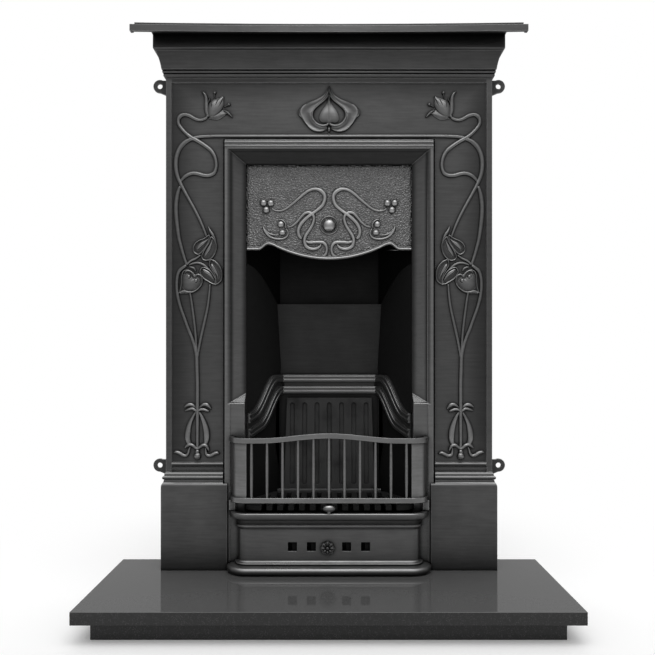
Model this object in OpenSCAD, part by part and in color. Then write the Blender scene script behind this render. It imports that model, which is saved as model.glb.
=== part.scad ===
// Cast iron fireplace on a granite hearth.
// X runs to the right, Y into the wall and Z up. The origin lies on the floor, in the plane of
// the wall's face, on the centre line. A distance "d" is measured from the wall's face towards
// the room, so it is -Y. Heights of the castings are counted from the top of the hearth.

/* [Hearth] */
// Width of the granite slab
hearth_w = 1067; // [960:1:1300]
// How far the slab reaches into the room
hearth_d = 381; // [300:1:500]
// Thickness of the slab
slab_t = 28; // [18:1:40]
// Height of the strips under the slab
riser_h = 42; // [30:1:80]
// Thickness of the strips
riser_t = 20; // [10:1:30]
// How far the strips stand back under the slab's edge
riser_inset = 32; // [5:1:60]
// Width of the bed inside the wall opening
recess_w = 560; // [500:1:800]
// How far the bed runs on behind the fire chamber
recess_past = 8; // [0:1:60]

/* [Front panel] */
// Width of the front casting, without its mouldings
body_w = 805; // [700:1:1000]
// How far the front casting stands out from the wall
body_d = 88; // [70:1:130]
// Height of the front casting up to the cornice
body_h = 1212; // [1150:1:1400]
// Wall thickness of the large castings
iron_t = 8; // [6:0.5:10]
// Width of the raised border at the edge of the panel
border_w = 14; // [8:1:30]
// How deep the field lies below the border
field_depth = 3; // [1:0.5:5]
// Height of the plain plinth block
plinth_h = 203; // [160:1:240]
// How far the plinth block stands out from the panel
plinth_out = 10.5; // [7:0.5:16]
// Height of the mouldings above the plinth block
base_h = 61; // [40:1:80]
// How far the plinth blocks reach over the edge of the insert
plinth_lap = 7; // [3:0.5:10]

/* [Cornice and shelf] */
// Height of the two reeds below the cove
reeds_h = 18; // [12:1:30]
// Height of the cove
cove_h = 45; // [25:1:60]
// How far the cove stands out at its top
cove_out = 20; // [15:1:30]
// Height of the fascia under the shelf
fascia_h = 33; // [26:1:50]
// How far the fascia stands out from the panel
fascia_out = 26; // [22:1:40]
// Width of the shelf between its front corners
shelf_w = 944; // [900:1:1100]
// How far the shelf's corners stand out from the wall
shelf_d = 161; // [145:1:200]
// How far the middle of the shelf's front edge is drawn back
shelf_bow = 8; // [0:1:15]
// Thickness of the shelf's plate
shelf_t = 12; // [10:0.5:18]
// Height of the rim that hangs from the shelf's edge
shelf_rim = 12; // [6:1:20]
// Thickness of that rim
rim_t = 7; // [5:0.5:8]
// How far the shelf stands out past the fascia at the wall
shelf_side = 1; // [1:1:12]
// Depth of the square horn at each front corner
shelf_horn = 14; // [8:1:20]
// Depth of the hollow curve behind each horn
shelf_flare = 15; // [8:1:20]
// How far the top of the shelf steps in from its edge
shelf_step = 9; // [4:1:12]

/* [Wall lugs] */
// Distance of the lug holes from the side of the panel
lug_out = 34.5; // [30:0.5:50]
// Height of the lower lug holes
lug_low = 244; // [215:1:300]
// Height of the upper lug holes
lug_high = 1222; // [1000:1:1226]
// Radius of the rounded lug end
lug_r = 17; // [14:0.5:20]
// Diameter of the lug hole
lug_hole = 13; // [8:0.5:16]
// Thickness of the lug
lug_t = 6; // [4:0.5:10]
// How far the lug's web runs down the side of the panel
lug_drop = 32; // [20:1:40]

/* [Insert frame] */
// Width over the raised lip
insert_w = 514; // [490:1:540]
// Height to the top of the raised lip
insert_h = 1059; // [1030:1:1100]
// Gap between the panel and the lip
joint_gap = 4; // [1:0.5:6]
// Width of the lip at the sides
lip_w = 13; // [10:0.5:16]
// Width of the lip along the top
lip_top_w = 27; // [12:1:32]
// How far the lip stands out from the panel
lip_out = 5; // [2:0.5:6]
// How far the stiles below the splay lie back from the lip
stile_step = 2; // [1:0.5:2]
// Width of the clear opening
opening_w = 416; // [400:1:430]
// Depth of the splay
splay_d = 28; // [20:1:34]
// How far the top splay comes down
splay_drop = 26; // [15:1:35]
// Height where the splay ends in its stop
stop_h = 411; // [380:1:440]
// How far the stop slopes up
stop_rise = 22; // [10:1:30]
// Width of the flange behind the panel
flange_w = 18; // [15:1:24]
// Width of the ring that the cheeks and canopy are bolted to
ring_w = 28; // [26:1:32]

/* [Canopy] */
// Height of the canopy's flat lower ends
canopy_low = 792; // [785:1:850]
// Height of the canopy's lowest point in the middle
canopy_mid = 768; // [764:1:790]
// Height of the crest on each side
canopy_crest = 806; // [800:1:870]
// Distance of each crest from the centre line
crest_x = 153; // [130:1:165]
// Width of the raised edge
canopy_edge_w = 9; // [5:0.5:14]
// How far the raised edge stands out
canopy_edge_out = 4; // [2:0.5:6]

/* [Fire chamber] */
// Depth of the chamber behind the frame
chamber_d = 142; // [120:1:170]
// Width of the chamber at its back
back_w = 262; // [240:1:290]
// Thickness of the cheeks
cheek_t = 6; // [4:0.5:8]
// Height of the cheeks at the front
cheek_front_h = 758; // [720:1:762]
// Height of the cheeks and the back at the rear
cheek_back_h = 665; // [600:1:690]
// Height of the moulded rim at the back
rim_back_h = 475; // [450:1:500]
// How far the rim comes down at the front
rim_fall = 100; // [80:1:120]
// Width of the whole moulded rim
rim_w = 50; // [44:1:54]
// Width of each roll of the rim
roll_w = 19; // [12:1:20]
// How far the rolls stand out
rim_out = 9; // [5:0.5:12]
// How far the upper back panel leans forward
back_lean = 18; // [8:1:24]
// Thickness of the fireback
back_t = 8; // [6:0.5:10]

/* [Back brick] */
// Width of the brick at its foot
brick_w = 242; // [220:1:250]
// Width of the brick at its top
brick_top_w = 228; // [200:1:236]
// Height of the brick
brick_h = 242; // [200:1:246]
// Thickness of the brick
brick_t = 18; // [14:1:22]
// How far the foot of the brick stands forward of its top
brick_lean = 14; // [4:1:18]
// Number of flutes
flute_count = 7; // [5:1:7]
// Width of a flute
flute_w = 12; // [8:1:16]
// Spacing of the flutes
flute_pitch = 33; // [26:0.5:33]
// Depth of a flute
flute_depth = 4; // [2:0.5:8]

/* [Bottom grate] */
// Height of the underside of the grate
grate_z = 153; // [152:0.5:156]
// Thickness of the grate
grate_t = 12; // [10:1:14]
// Spacing of the slots
slot_pitch = 26.2; // [24:0.1:27]
// Width of a slot
slot_w = 12; // [8:0.5:15]
// Radius of the grate's front corners
grate_corner = 32; // [20:1:45]
// Width of the ledges that carry the grate
ledge_w = 14; // [10:1:20]
// Thickness of those ledges
ledge_t = 8; // [6:0.5:12]
// Room between the grate and the cheeks
grate_gap = 2; // [1:0.5:4]
// Room between the grate's front edge and the front bars
front_room = 9; // [8:1:14]

/* [Front bars] */
// Radius of the bars' rounded corners
bars_r = 44; // [40:1:46]
// Length of the straight stretch between the corner and the frame
bars_side = 11; // [11:1:16]
// Height of the top rail's upper edge at the ends
rail_h = 329; // [300:1:360]
// How far the top rail rises in the middle
rail_rise = 12; // [0:1:25]
// Half the length of that rise
rise_half = 170; // [120:1:190]
// Height of the top rail's section
rail_t = 12; // [8:1:16]
// Height of the lower rail's underside
low_rail_z = 174; // [172:1:186]
// Depth of the rails' section
rail_d = 9; // [7:0.5:11]
// Thickness of the curved end plates
end_t = 6; // [4:0.5:6]
// How far the end plates lie back from the rails
end_back = 4; // [2:0.5:5]
// Number of upright bars
bar_count = 11; // [9:2:13]
// Spacing of the upright bars
bar_pitch = 37.1; // [28:0.1:38]
// Diameter of a bar at its ends
bar_end_d = 6.4; // [5:0.1:7]
// Diameter of a bar at its middle
bar_mid_d = 8; // [6:0.1:8.4]
// Diameter of the locating pins
pin_d = 5; // [4:0.5:5]
// Length of the locating pins
pin_l = 12; // [8:1:18]
// Depth of the brackets that carry the front bars
bracket_d = 16; // [14:1:16]
// Width of those brackets
bracket_w = 15; // [12:1:16]
// Gap between the lip and what slides or lifts past it
lip_clear = 2; // [1:0.5:4]

/* [Ash cover] */
// Height of the ash cover
cover_h = 149; // [145:1:150]
// Radius of the foot moulding's corners
foot_r = 53; // [50:1:56]
// Radius of the plain panel's corners
cover_r = 24; // [22:1:28]
// Wall thickness of the ash cover
cover_t = 8; // [6:0.5:9]
// Side of a square vent
vent = 21.5; // [16:0.5:23]
// Distance of the inner vents from the centre line
vent_in = 42.6; // [40:0.1:50]
// Distance of the outer vents from the centre line
vent_out = 88.4; // [82:0.1:100]
// Height of the middle of the vents
vent_z = 65; // [60:1:72]
// How far the rosette's middle lies below the middle of the vents
rosette_drop = 3; // [0:0.5:5]
// Half width of the oval knob
oval_x = 16; // [12:0.1:22]
// Half height of the oval knob
oval_z = 9.4; // [6:0.1:10]

/* [Vent slide] */
// Width of the slide
slide_w = 262; // [256:1:280]
// Height of the slide
slide_h = 46; // [40:1:50]
// Thickness of the slide
slide_t = 3; // [2:0.5:4]
// How far the rosette stands left of the centre line
rosette_left = 3.6; // [0:0.1:5]
// How far the slide travels each way
slide_travel = 11.2; // [8:0.1:11.5]
// Free room before and behind the slide
slide_gap = 0.4; // [0.2:0.1:1]
// Radius of the rosette
rosette_r = 16.5; // [15:0.5:20]
// Thickness of the rosette
rosette_t = 6; // [4:0.5:9]
// Radius of the rosette's shaft
shaft_r = 3; // [2:0.5:3]

/* [Ash pan] */
// Width of the ash pan at its front
pan_w = 370; // [300:1:390]
// Height of the ash pan
pan_h = 92; // [60:1:110]
// Thickness of its sheet
pan_t = 2; // [1:0.5:3]
// Room between the pan and the guides before it, and the chamber behind it
pan_gap = 19; // [17:1:30]
// Width of the pan's handle
handle_w = 90; // [60:1:140]

/* [Throat and damper] */
// Thickness of the throat's sheet
sheet_t = 3; // [2:0.5:4]
// How far the throat's top lies below the top of the insert
throat_down = 59; // [55:1:99]
// How far the throat reaches down outside the cheeks and behind the fireback
throat_lap = 24; // [18:1:30]
// Distance from the throat's front to the flue outlet
outlet_in = 22; // [18:1:30]
// Height of the plate that carries the damper
damper_z = 840; // [836:1:900]
// Width of the damper's opening
damper_w = 200; // [160:1:220]
// Depth of the damper's opening
damper_d = 74; // [50:1:80]
// Thickness of the damper flap
flap_t = 4; // [3:0.5:6]
// How far the flap laps over the opening's edge
flap_lap = 10; // [6:1:14]
// Radius of the damper's pin
hinge_r = 4; // [3:0.5:5]
// Radius of the knuckles round the pin
knuckle_r = 8; // [7:0.5:8]
// Length of the lever under the flap
lever_l = 46; // [35:1:60]
// Width of the lever
lever_w = 12; // [8:1:16]
// Thickness of the lever
lever_t = 4; // [3:0.5:6]
// Length of the lever's foot, which is pushed with the poker
lever_foot = 14; // [10:1:20]
// Width of the flue outlet
outlet_w = 240; // [180:1:250]
// Depth of the flue outlet
outlet_d = 84; // [60:1:90]
// Height of the outlet's collar
outlet_h = 40; // [20:1:80]

/* [Fasteners] */
// Diameter of the bolts
bolt_d = 8; // [6:0.5:8]
// Width of a bolt head across its corners
bolt_head = 14; // [11:0.5:14]
// Thickness of a bolt head
bolt_head_t = 5; // [4:0.5:6]
// Room round a bolt in its hole
bolt_clear = 0.3; // [0.2:0.1:0.5]
// How deep a bolt goes into the casting that it holds
bolt_grip = 6; // [4:0.5:6]
// Running gap between loose flat faces
gap = 0.3; // [0.2:0.05:0.5]
// Room under a casting that is lifted off its ledge
seat_gap = 0.02; // [0.01:0.01:0.05]

/* [Hidden] */
$fn = 48;

iron = "#3b3b3d";
soot = "#222224";
granite = "#2b2c2e";
beyond = 60;    // how far a cutting shape runs past what it cuts

hearth_h = slab_t + riser_h;
body_half = body_w / 2;
body_inner = body_half - iron_t;
insert_half = insert_w / 2;
stile_half = insert_half - lip_w;
opening_half = opening_w / 2;
ring_front = body_d - splay_d;
ring_back = ring_front - iron_t;
seat_d = ring_back - iron_t;
back_d = ring_back - chamber_d;
fireback_rear = back_d - back_t;
rear_d = fireback_rear - sheet_t;
ring_half = opening_half + ring_w;
lip_front = body_d + lip_out;
stile_front = lip_front - stile_step;
plinth_front = body_d + plinth_out;
cap_top = plinth_h + 0.16 * base_h;
field_z = plinth_h + base_h;
cove_z = body_h + reeds_h;
fascia_z = cove_z + cove_h;
shelf_seat = fascia_z + fascia_h;
shelf_top = shelf_seat + shelf_t;
splay_top = insert_h - lip_top_w;
ring_inner_top = splay_top - splay_drop;
ring_top = ring_inner_top + ring_w;
throat_h = insert_h - throat_down;
corner_x = stile_half - lip_clear - bars_r;
corner_d = body_d + bars_side;
low_rail_top = low_rail_z + rail_t;
cover_front = corner_d + cover_r;
cover_inner = cover_front - cover_t;

// ---- plain shapes, placed by their distance in front of the wall ----

module block(x, d, z) {
    translate([x[0], -d[1], z[0]]) cube([x[1] - x[0], d[1] - d[0], z[1] - z[0]]);
}

module wide_block(half, d, z) block([-half, half], d, z);

module both_sides() {
    children();
    mirror([1, 0, 0]) children();
}

// An outline of [d, z] points, run along X from x[0] to x[1].
module along_x(x, outline) {
    translate([x[0], 0, 0]) rotate([90, 0, 90]) linear_extrude(x[1] - x[0])
        polygon([for (p = outline) [-p[0], p[1]]]);
}

// An outline of [x, z] points, run forward from d[0] to d[1].
module along_d(d, outline) {
    translate([0, -d[0], 0]) rotate([90, 0, 0]) linear_extrude(d[1] - d[0]) polygon(outline);
}

// An outline of [x, d] points, run up from z[0] to z[1].
module upright(z, outline) {
    translate([0, 0, z[0]]) linear_extrude(z[1] - z[0]) polygon([for (p = outline) [p[0], -p[1]]]);
}

// A moulding that runs across the front and returns along both sides with mitred corners.
// Its profile lists [how far it stands out, height] upwards.
module mitred(profile, half, depth) {
    last = len(profile) - 1;
    intersection() {
        along_x([-half - beyond, half + beyond], concat([[0, profile[0][1]]],
            [for (p = profile) [depth + p[0], p[1]]], [[0, profile[last][1]]]));
        along_d([0, depth + beyond], concat([for (p = profile) [half + p[0], p[1]]],
            [for (i = [last:-1:0]) [-half - profile[i][0], profile[i][1]]]));
    }
}

// Points of a round bead on a profile, from the bottom up.
function bead(out, middle, r, steps = 8) =
    [for (i = [0:steps]) let (a = -90 + 180 * i / steps) [out + r * cos(a), middle + r * sin(a)]];

// A bolt whose head sits at z < 0, and whose shaft runs up from z = 0.
module bolt(l, head = bolt_head, d = bolt_d) {
    translate([0, 0, -bolt_head_t]) cylinder(h = bolt_head_t, d = head, $fn = 6);
    translate([0, 0, -0.5]) cylinder(h = l + 0.5, d = d);
}

module bolt_hole(l, d = bolt_d) translate([0, 0, -1]) cylinder(h = l + 1, d = d + 2 * bolt_clear);

// Places a bolt or its hole at [x, z], pointing towards the room from the distance d.
module forward(spots, d) {
    for (s = spots) translate([s[0], -d, s[1]]) rotate([90, 0, 0]) children();
}

module above_hearth() translate([0, 0, hearth_h]) children();

// ---- hearth ----

module hearth_bed() {
    half = hearth_w / 2 - riser_inset - riser_t;
    color("#8d8b86") {
        wide_block(half, [0, hearth_d - riser_inset - riser_t], [0, riser_h]);
        wide_block(recess_w / 2, [rear_d - recess_past, 0], [0, hearth_h]);
    }
}

module hearth_slab() {
    color(granite) wide_block(hearth_w / 2, [0, hearth_d], [riser_h, hearth_h]);
}

module riser_front() {
    front = hearth_d - riser_inset;
    color(granite) wide_block(hearth_w / 2 - riser_inset, [front - riser_t, front], [0, riser_h]);
}

module riser_side() {
    outer = hearth_w / 2 - riser_inset;
    color(granite) block([outer - riser_t, outer], [0, hearth_d - riser_inset - riser_t], [0, riser_h]);
}

module riser_left() mirror([1, 0, 0]) riser_side();
module riser_right() riser_side();

// ---- front panel ----

base_profile = concat(
    [[plinth_out, 0], [plinth_out, plinth_h], [plinth_out - 0.4, plinth_h + 0.07 * base_h],
     [plinth_out - 1.6, plinth_h + 0.13 * base_h], [plinth_out - 3.2, plinth_h + 0.17 * base_h],
     [plinth_out - 5.2, plinth_h + 0.21 * base_h], [plinth_out - 5.5, plinth_h + 0.26 * base_h]],
    bead(plinth_out - 7, plinth_h + 0.385 * base_h, 0.075 * base_h, 6),
    [[plinth_out - 7.2, plinth_h + 0.5 * base_h], [plinth_out - 6.8, plinth_h + 0.52 * base_h],
     [0.5, plinth_h + 0.61 * base_h]]);

// The band and the roll that close the field at its foot.
foot_profile = concat([[0, plinth_h + 0.69 * base_h], [1.8, plinth_h + 0.7 * base_h],
    [0.8, plinth_h + 0.825 * base_h]], bead(0, field_z - 0.085 * base_h, 0.085 * base_h));

function cove_at(u) = let (low = 0.45 * cove_out) low + (cove_out - low) * (u - 0.12 * sin(180 * u));

cornice_profile = concat([[0, body_h - 1], [1, body_h]],
    bead(1, body_h + 0.28 * reeds_h, 0.25 * reeds_h), bead(4, body_h + 0.72 * reeds_h, 0.2 * reeds_h),
    [for (i = [0:8]) [cove_at(i / 8), cove_z + (cove_h - 4) * i / 8]],
    [[fascia_out, fascia_z], [fascia_out, shelf_seat]]);

cornice_hollow = [[-iron_t, body_h - 1], [-iron_t + 1, cove_z], [cove_out - 1.5 * iron_t, fascia_z],
    [fascia_out - iron_t, fascia_z + iron_t], [fascia_out - iron_t, shelf_seat - iron_t]];

shelf_bolt_x = [-0.62 * body_half, -0.2 * body_half, 0.2 * body_half, 0.62 * body_half];
shelf_bolt_d = body_d + fascia_out - 2.8 * iron_t;
lug_x = body_half + lug_out;

// A lug's outline: a round end on a web that runs down the side of the panel.
module lug_outline() {
    reach = lug_out + 1;
    turn = atan2(-lug_drop, -reach) + 360 + acos(lug_r / norm([lug_drop, reach]));
    inside = 0.9 * lug_r;
    polygon([[-reach, inside], [0, inside], [0, 0], [inside * cos(turn), inside * sin(turn)],
        [-reach, -lug_drop]]);
    circle(r = lug_r);
}

module wall_lug(z) {
    translate([lug_x, 0, z]) rotate([90, 0, 0]) difference() {
        linear_extrude(lug_t) lug_outline();
        translate([0, 0, -1]) cylinder(h = lug_t + 2, d = lug_hole);
    }
}

// Bolts that hold the insert's flange to the back of the panel.
insert_spots = concat(
    [for (s = [-1, 1], z = [0.28, 0.46, 0.64, 0.82]) [s * (insert_half + 0.62 * flange_w), z * insert_h]],
    [for (x = [-0.6, 0, 0.6]) [x * insert_half, insert_h + 0.62 * flange_w]]);

panel_grip = iron_t - field_depth - 1.5;    // the field leaves less iron for these bolts

module front_panel() {
    field_half = body_half - border_w;
    gap_half = insert_half + joint_gap;
    above_hearth() color(iron) {
        difference() {
            union() {
                wide_block(body_half, [0, body_d], [0, body_h]);
                mitred(base_profile, body_half, body_d);
                mitred(cornice_profile, body_half, body_d);
            }
            // hollow behind the panel, the cornice and the plinth blocks
            wide_block(body_inner, [-1, body_d - iron_t], [-1, body_h]);
            mitred_hollow();
            both_sides() block([gap_half, body_half + plinth_out - iron_t],
                [-1, plinth_front - iron_t], [-1, plinth_h - iron_t]);
            // window in the top flange
            wide_block(body_inner - beyond, [2 * iron_t, body_d - 3 * iron_t],
                [shelf_seat - 2 * iron_t, shelf_seat + 1]);
            // the opening for the insert, which the plinth blocks lap over
            wide_block(gap_half, [-1, lip_front + gap], [-1, insert_h + joint_gap]);
            wide_block(gap_half, [-1, plinth_front + beyond], [cap_top, insert_h + joint_gap]);
            wide_block(insert_half - plinth_lap, [-1, plinth_front + beyond], [-1, insert_h]);
            // the sunk field inside the border
            wide_block(field_half, [body_d - field_depth, body_d + beyond],
                [plinth_h + 0.60 * base_h, body_h - border_w + 2]);
            forward(insert_spots, body_d - iron_t) bolt_hole(panel_grip);
            for (x = shelf_bolt_x) translate([x, -shelf_bolt_d, shelf_seat - iron_t])
                bolt_hole(2 * iron_t);
        }
        both_sides() {
            along_x([gap_half, field_half], concat([[body_d - field_depth - 1, foot_profile[0][1]]],
                [for (p = foot_profile) [body_d - field_depth + p[0], p[1]]],
                [[body_d - field_depth - 1, field_z]]));
            wall_lug(lug_low);
            wall_lug(lug_high);
        }
    }
}

module mitred_hollow() translate([0, 1, 0]) mitred(cornice_hollow, body_half, body_d + 1);

// ---- shelf ----

// Plan of one half of the shelf, drawn in from its edge by the distance o.
function shelf_half_plan(o) = let (x = shelf_w / 2 - o, rear = body_half + fascia_out + shelf_side - o,
        d = shelf_d - o, horn = shelf_d - shelf_horn, cove = x - 4 - rear, start = horn - shelf_flare)
    concat([[rear, 0]],
        [for (i = [0:8]) let (a = 90 * i / 8) [rear + cove * (1 - cos(a)), start + (horn - start) * sin(a)]],
        [[x, horn], [x, d]],
        [for (i = [11:-1:1]) let (t = i / 12) [x * t, d - shelf_bow * (1 - t * t)]]);

function shelf_plan(o) = let (half = shelf_half_plan(o), n = len(half) - 1)
    concat(half, [[0, shelf_d - shelf_bow - o]], [for (i = [n:-1:0]) [-half[i][0], half[i][1]]]);

module mantel_shelf() {
    step_z = shelf_seat + shelf_t / 3;
    above_hearth() color(iron) difference() {
        union() {
            upright([shelf_seat, step_z], shelf_plan(0));
            upright([step_z, shelf_top], shelf_plan(shelf_step));
            difference() {
                upright([shelf_seat - shelf_rim, shelf_seat], shelf_plan(0));
                translate([0, 1, 0]) upright([shelf_seat - shelf_rim - 1, shelf_seat], shelf_plan(rim_t));
                both_sides() block([body_half + fascia_out + shelf_side - rim_t - 1, shelf_w / 2 + 1],
                    [-2, shelf_d - shelf_horn + 0.5], [shelf_seat - shelf_rim - 1, shelf_seat]);
            }
        }
        for (x = shelf_bolt_x) translate([x, -shelf_bolt_d, shelf_seat]) bolt_hole(bolt_grip);
    }
}

module shelf_bolts() {
    above_hearth() color(soot) for (x = shelf_bolt_x)
        translate([x, -shelf_bolt_d, shelf_seat - iron_t]) bolt(iron_t + bolt_grip - 1);
}

// ---- insert frame ----

splay_slope = (stile_half - opening_half) / splay_d;
splay_side = splay_drop / splay_d;
bracket_top = low_rail_z;
bracket_z = cover_h + 1;
pin_x = corner_x + bars_r - rail_d / 2;
pin_place_d = stile_front + bracket_d / 2;

// The space inside the splay, made larger by "grow" and cut off below the height z.
module funnel(grow, d, z) {
    x0 = opening_half + grow + splay_slope * (d[0] - ring_front);
    x1 = opening_half + grow + splay_slope * (d[1] - ring_front);
    z0 = ring_inner_top + grow + splay_side * (d[0] - ring_front);
    z1 = ring_inner_top + grow + splay_side * (d[1] - ring_front);
    intersection() {
        upright([z[0] - beyond, z1 + beyond], [[-x0, d[0]], [x0, d[0]], [x1, d[1]], [-x1, d[1]]]);
        along_x([-x1 - beyond, x1 + beyond], [[d[0], z[0]], [d[1], z[1]], [d[1], z1], [d[0], z0]]);
    }
}

cheek_spots = [for (s = [-1, 1], z = [0.32, 0.62, 0.92])
    [s * (opening_half + 0.72 * ring_w), z * cheek_front_h]];
canopy_side_z = 0.5 * (cheek_front_h + ring_top);
canopy_spots = concat([for (s = [-1, 1]) [s * (opening_half + 0.72 * ring_w), canopy_side_z]],
    [for (x = [-0.7, 0.7]) [x * opening_half, ring_inner_top + 0.6 * ring_w]]);

module insert_frame() {
    stop_back = stop_h + stop_rise;
    over = 10;    // how far the inner space runs past both ends of the splay
    slope = stop_rise / splay_d;
    above_hearth() color(iron) difference() {
        union() {
            // raised lip, flange behind the panel, and the ring at the back
            wide_block(insert_half, [body_d - iron_t, lip_front], [0, insert_h]);
            for (z = [0.26, 0.6]) along_x([-insert_half, insert_half],
                bead(lip_front - 1, insert_h - z * lip_top_w, 0.13 * lip_top_w));
            wide_block(insert_half + flange_w, [body_d - 2 * iron_t, body_d - iron_t],
                [0, insert_h + flange_w]);
            wide_block(ring_half, [ring_back, ring_front], [0, ring_top]);
            funnel(1.2 * iron_t, [ring_front, body_d], [stop_h, stop_h]);
            // stiles and stops below the splay
            both_sides() {
                block([opening_half, opening_half + iron_t], [ring_back, body_d], [0, stop_h]);
                block([opening_half, stile_half], [body_d - iron_t, stile_front], [0, stop_h]);
                block([opening_half, stile_half + iron_t], [ring_front, body_d],
                    [stop_h - iron_t, stop_back]);
                bracket();
            }
        }
        funnel(0, [ring_front - over, body_d + over],
            [stop_back + slope * over + gap, stop_h - slope * over + gap]);
        wide_block(opening_half, [-beyond, lip_front + beyond], [-1, ring_inner_top]);
        // the lip stands round the splay's mouth, and a little proud of the stiles
        wide_block(stile_half, [body_d, lip_front + 1], [stop_h, splay_top]);
        both_sides() {
            block([opening_half - 1, stile_half], [stile_front, lip_front + 1], [bracket_top, stop_h + 1]);
            block([opening_half - 1, stile_half], [stile_front, lip_front + 1], [-1, bracket_z]);
            block([opening_half - 1, stile_half - bracket_w], [stile_front, lip_front + 1],
                [bracket_z - 1, bracket_top + 1]);
        }
        forward(insert_spots, body_d - 2 * iron_t) bolt_hole(iron_t + 1);
        forward(cheek_spots, ring_back) bolt_hole(bolt_grip);
        forward(canopy_spots, ring_back) bolt_hole(bolt_grip);
    }
}

// A bracket on the stile, with a hole for the front bars' pin.
module bracket() {
    difference() {
        block([stile_half - bracket_w, stile_half], [stile_front - 1, stile_front + bracket_d],
            [bracket_z, bracket_top]);
        translate([pin_x, -pin_place_d, bracket_z - 1])
            cylinder(h = bracket_top - bracket_z + 2, d = pin_d + 2 * gap);
    }
}

module insert_bolts() {
    above_hearth() color(soot) forward(insert_spots, body_d - 2 * iron_t) bolt(iron_t + panel_grip - 0.5);
}

// ---- canopy ----

// Height of the canopy's lower edge at the distance x from the centre line.
function canopy_edge(x) = let (a = abs(x), rise = canopy_crest - canopy_mid, end_x = crest_x + 25)
    a < 0.86 * crest_x ? canopy_mid + 1.08 * rise * pow(a / crest_x, 2) :
    a < crest_x ? canopy_mid + 0.799 * rise + 0.201 * rise * sin(90 * (a / crest_x - 0.86) / 0.14) :
    a < end_x ? canopy_low + (canopy_crest - canopy_low) * (1 + cos(180 * (a - crest_x) / 25)) / 2 :
    canopy_low;

canopy_steps = 52;
function canopy_line(up) = [for (i = [-canopy_steps:canopy_steps])
    let (x = opening_half * i / canopy_steps) [x, canopy_edge(x) + up]];

module canopy() {
    flange_low = cheek_front_h + gap;
    above_hearth() color(iron) difference() {
        union() {
            along_d([seat_d, ring_back], concat([[-opening_half, flange_low], [-ring_half, flange_low],
                [-ring_half, ring_top], [ring_half, ring_top], [ring_half, flange_low],
                [opening_half, flange_low]],
                [for (i = [2 * canopy_steps:-1:0]) canopy_line(0)[i]]));
            along_d([ring_back - 1, ring_back + canopy_edge_out], concat(
                [for (p = canopy_line(0)) [0.998 * p[0], p[1]]],
                [for (i = [2 * canopy_steps:-1:0]) let (p = canopy_line(canopy_edge_w)[i])
                    [0.998 * p[0], p[1]]]));
        }
        forward(canopy_spots, seat_d) bolt_hole(iron_t + 1);
    }
}

module canopy_bolts() {
    above_hearth() color(soot) forward(canopy_spots, seat_d) bolt(iron_t + bolt_grip - 1);
}

// ---- fire chamber ----

// Each cheek stands on a line in plan, from the ring's edge to the edge of the back.
cheek_dx = opening_half - back_w / 2;
cheek_l = norm([cheek_dx, chamber_d]);
cheek_turn = atan2(-chamber_d, cheek_dx);

// Half width of the chamber at the distance d, and farther out by "out" square to the cheek.
function chamber_x(d, out = 0) =
    back_w / 2 + cheek_dx * (d - back_d) / chamber_d + out * cheek_l / chamber_d;

// The right cheek's own frame: x runs along it to the front, y outwards.
module on_cheek() translate([back_w / 2, -back_d, 0]) rotate([0, 0, cheek_turn]) children();

module cheek_plate(y, outline) {
    on_cheek() translate([0, y[1], 0]) rotate([90, 0, 0]) linear_extrude(y[1] - y[0]) polygon(outline);
}

function cheek_top(t) = cheek_back_h + (cheek_front_h - cheek_back_h) * sin(90 * max(0, (t - 0.1) / 0.9));

// The rim runs level from the back, turns down over a shoulder and then sweeps out to the front.
// A line that lies lower on the rim turns down sooner.
function rim_point(t, down) = let (u = max(0, t + 0.0055 * down - 0.28),
        drop = (1 - cos(180 * min(1, u / 0.6))) / 2)
    [cheek_l * t, rim_back_h - down - rim_fall * (0.6 * drop + 0.4 * u / 0.82)];
rim_steps = 20;
function rim_band(a, b) = concat([for (i = [0:rim_steps]) rim_point(i / rim_steps, a)],
    [for (i = [rim_steps:-1:0]) rim_point(i / rim_steps, b)]);

rear_flange_w = 17;    // width of the flange that the fireback is bolted to
rear_spots = [for (s = [-1, 1], z = [0.3, 0.62, 0.92]) [s * (back_w / 2 + 0.62 * rear_flange_w), z * rim_back_h]];

module cheek() {
    n = 16;
    above_hearth() color(soot) difference() {
        union() {
            intersection() {
                union() {
                    cheek_plate([0, cheek_t], concat([[-20, 0], [cheek_l + 20, 0]],
                        [for (i = [n:-1:0]) [i == n ? cheek_l + 20 : cheek_l * i / n, cheek_top(i / n)]],
                        [[-20, cheek_back_h]]));
                    cheek_plate([-0.35 * rim_out, 0.5], rim_band(0, rim_w));
                    cheek_plate([-rim_out, 0.5], rim_band(0, roll_w));
                    cheek_plate([-rim_out, 0.5], rim_band(rim_w - roll_w, rim_w));
                    on_cheek() translate([0.3 * cheek_l, -ledge_w, grate_z - seat_gap - ledge_t])
                        cube([0.7 * cheek_l - ledge_t, ledge_w + 0.5, ledge_t]);
                }
                wide_block(ring_half, [back_d, ring_back], [0, shelf_top]);
            }
            // flanges for the bolts
            block([opening_half + 1, ring_half], [seat_d, ring_back], [0, cheek_front_h]);
            block([back_w / 2 + 1, back_w / 2 + rear_flange_w], [back_d, back_d + cheek_t],
                [0, rim_back_h]);
        }
        forward(cheek_spots, seat_d) bolt_hole(iron_t + 1);
        forward(rear_spots, back_d) bolt_hole(bolt_grip);
    }
}

module cheek_right() cheek();
module cheek_left() mirror([1, 0, 0]) cheek();

module cheek_bolts() {
    above_hearth() color(soot) forward(cheek_spots, seat_d) bolt(iron_t + bolt_grip - 1);
}

brick_seat = grate_z + grate_t + 6;
throat_low = rim_back_h - throat_lap;
throat_spots = [for (x = [-0.7, 0, 0.7]) [x * back_w / 2, throat_low + 0.5 * throat_lap]];

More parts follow.
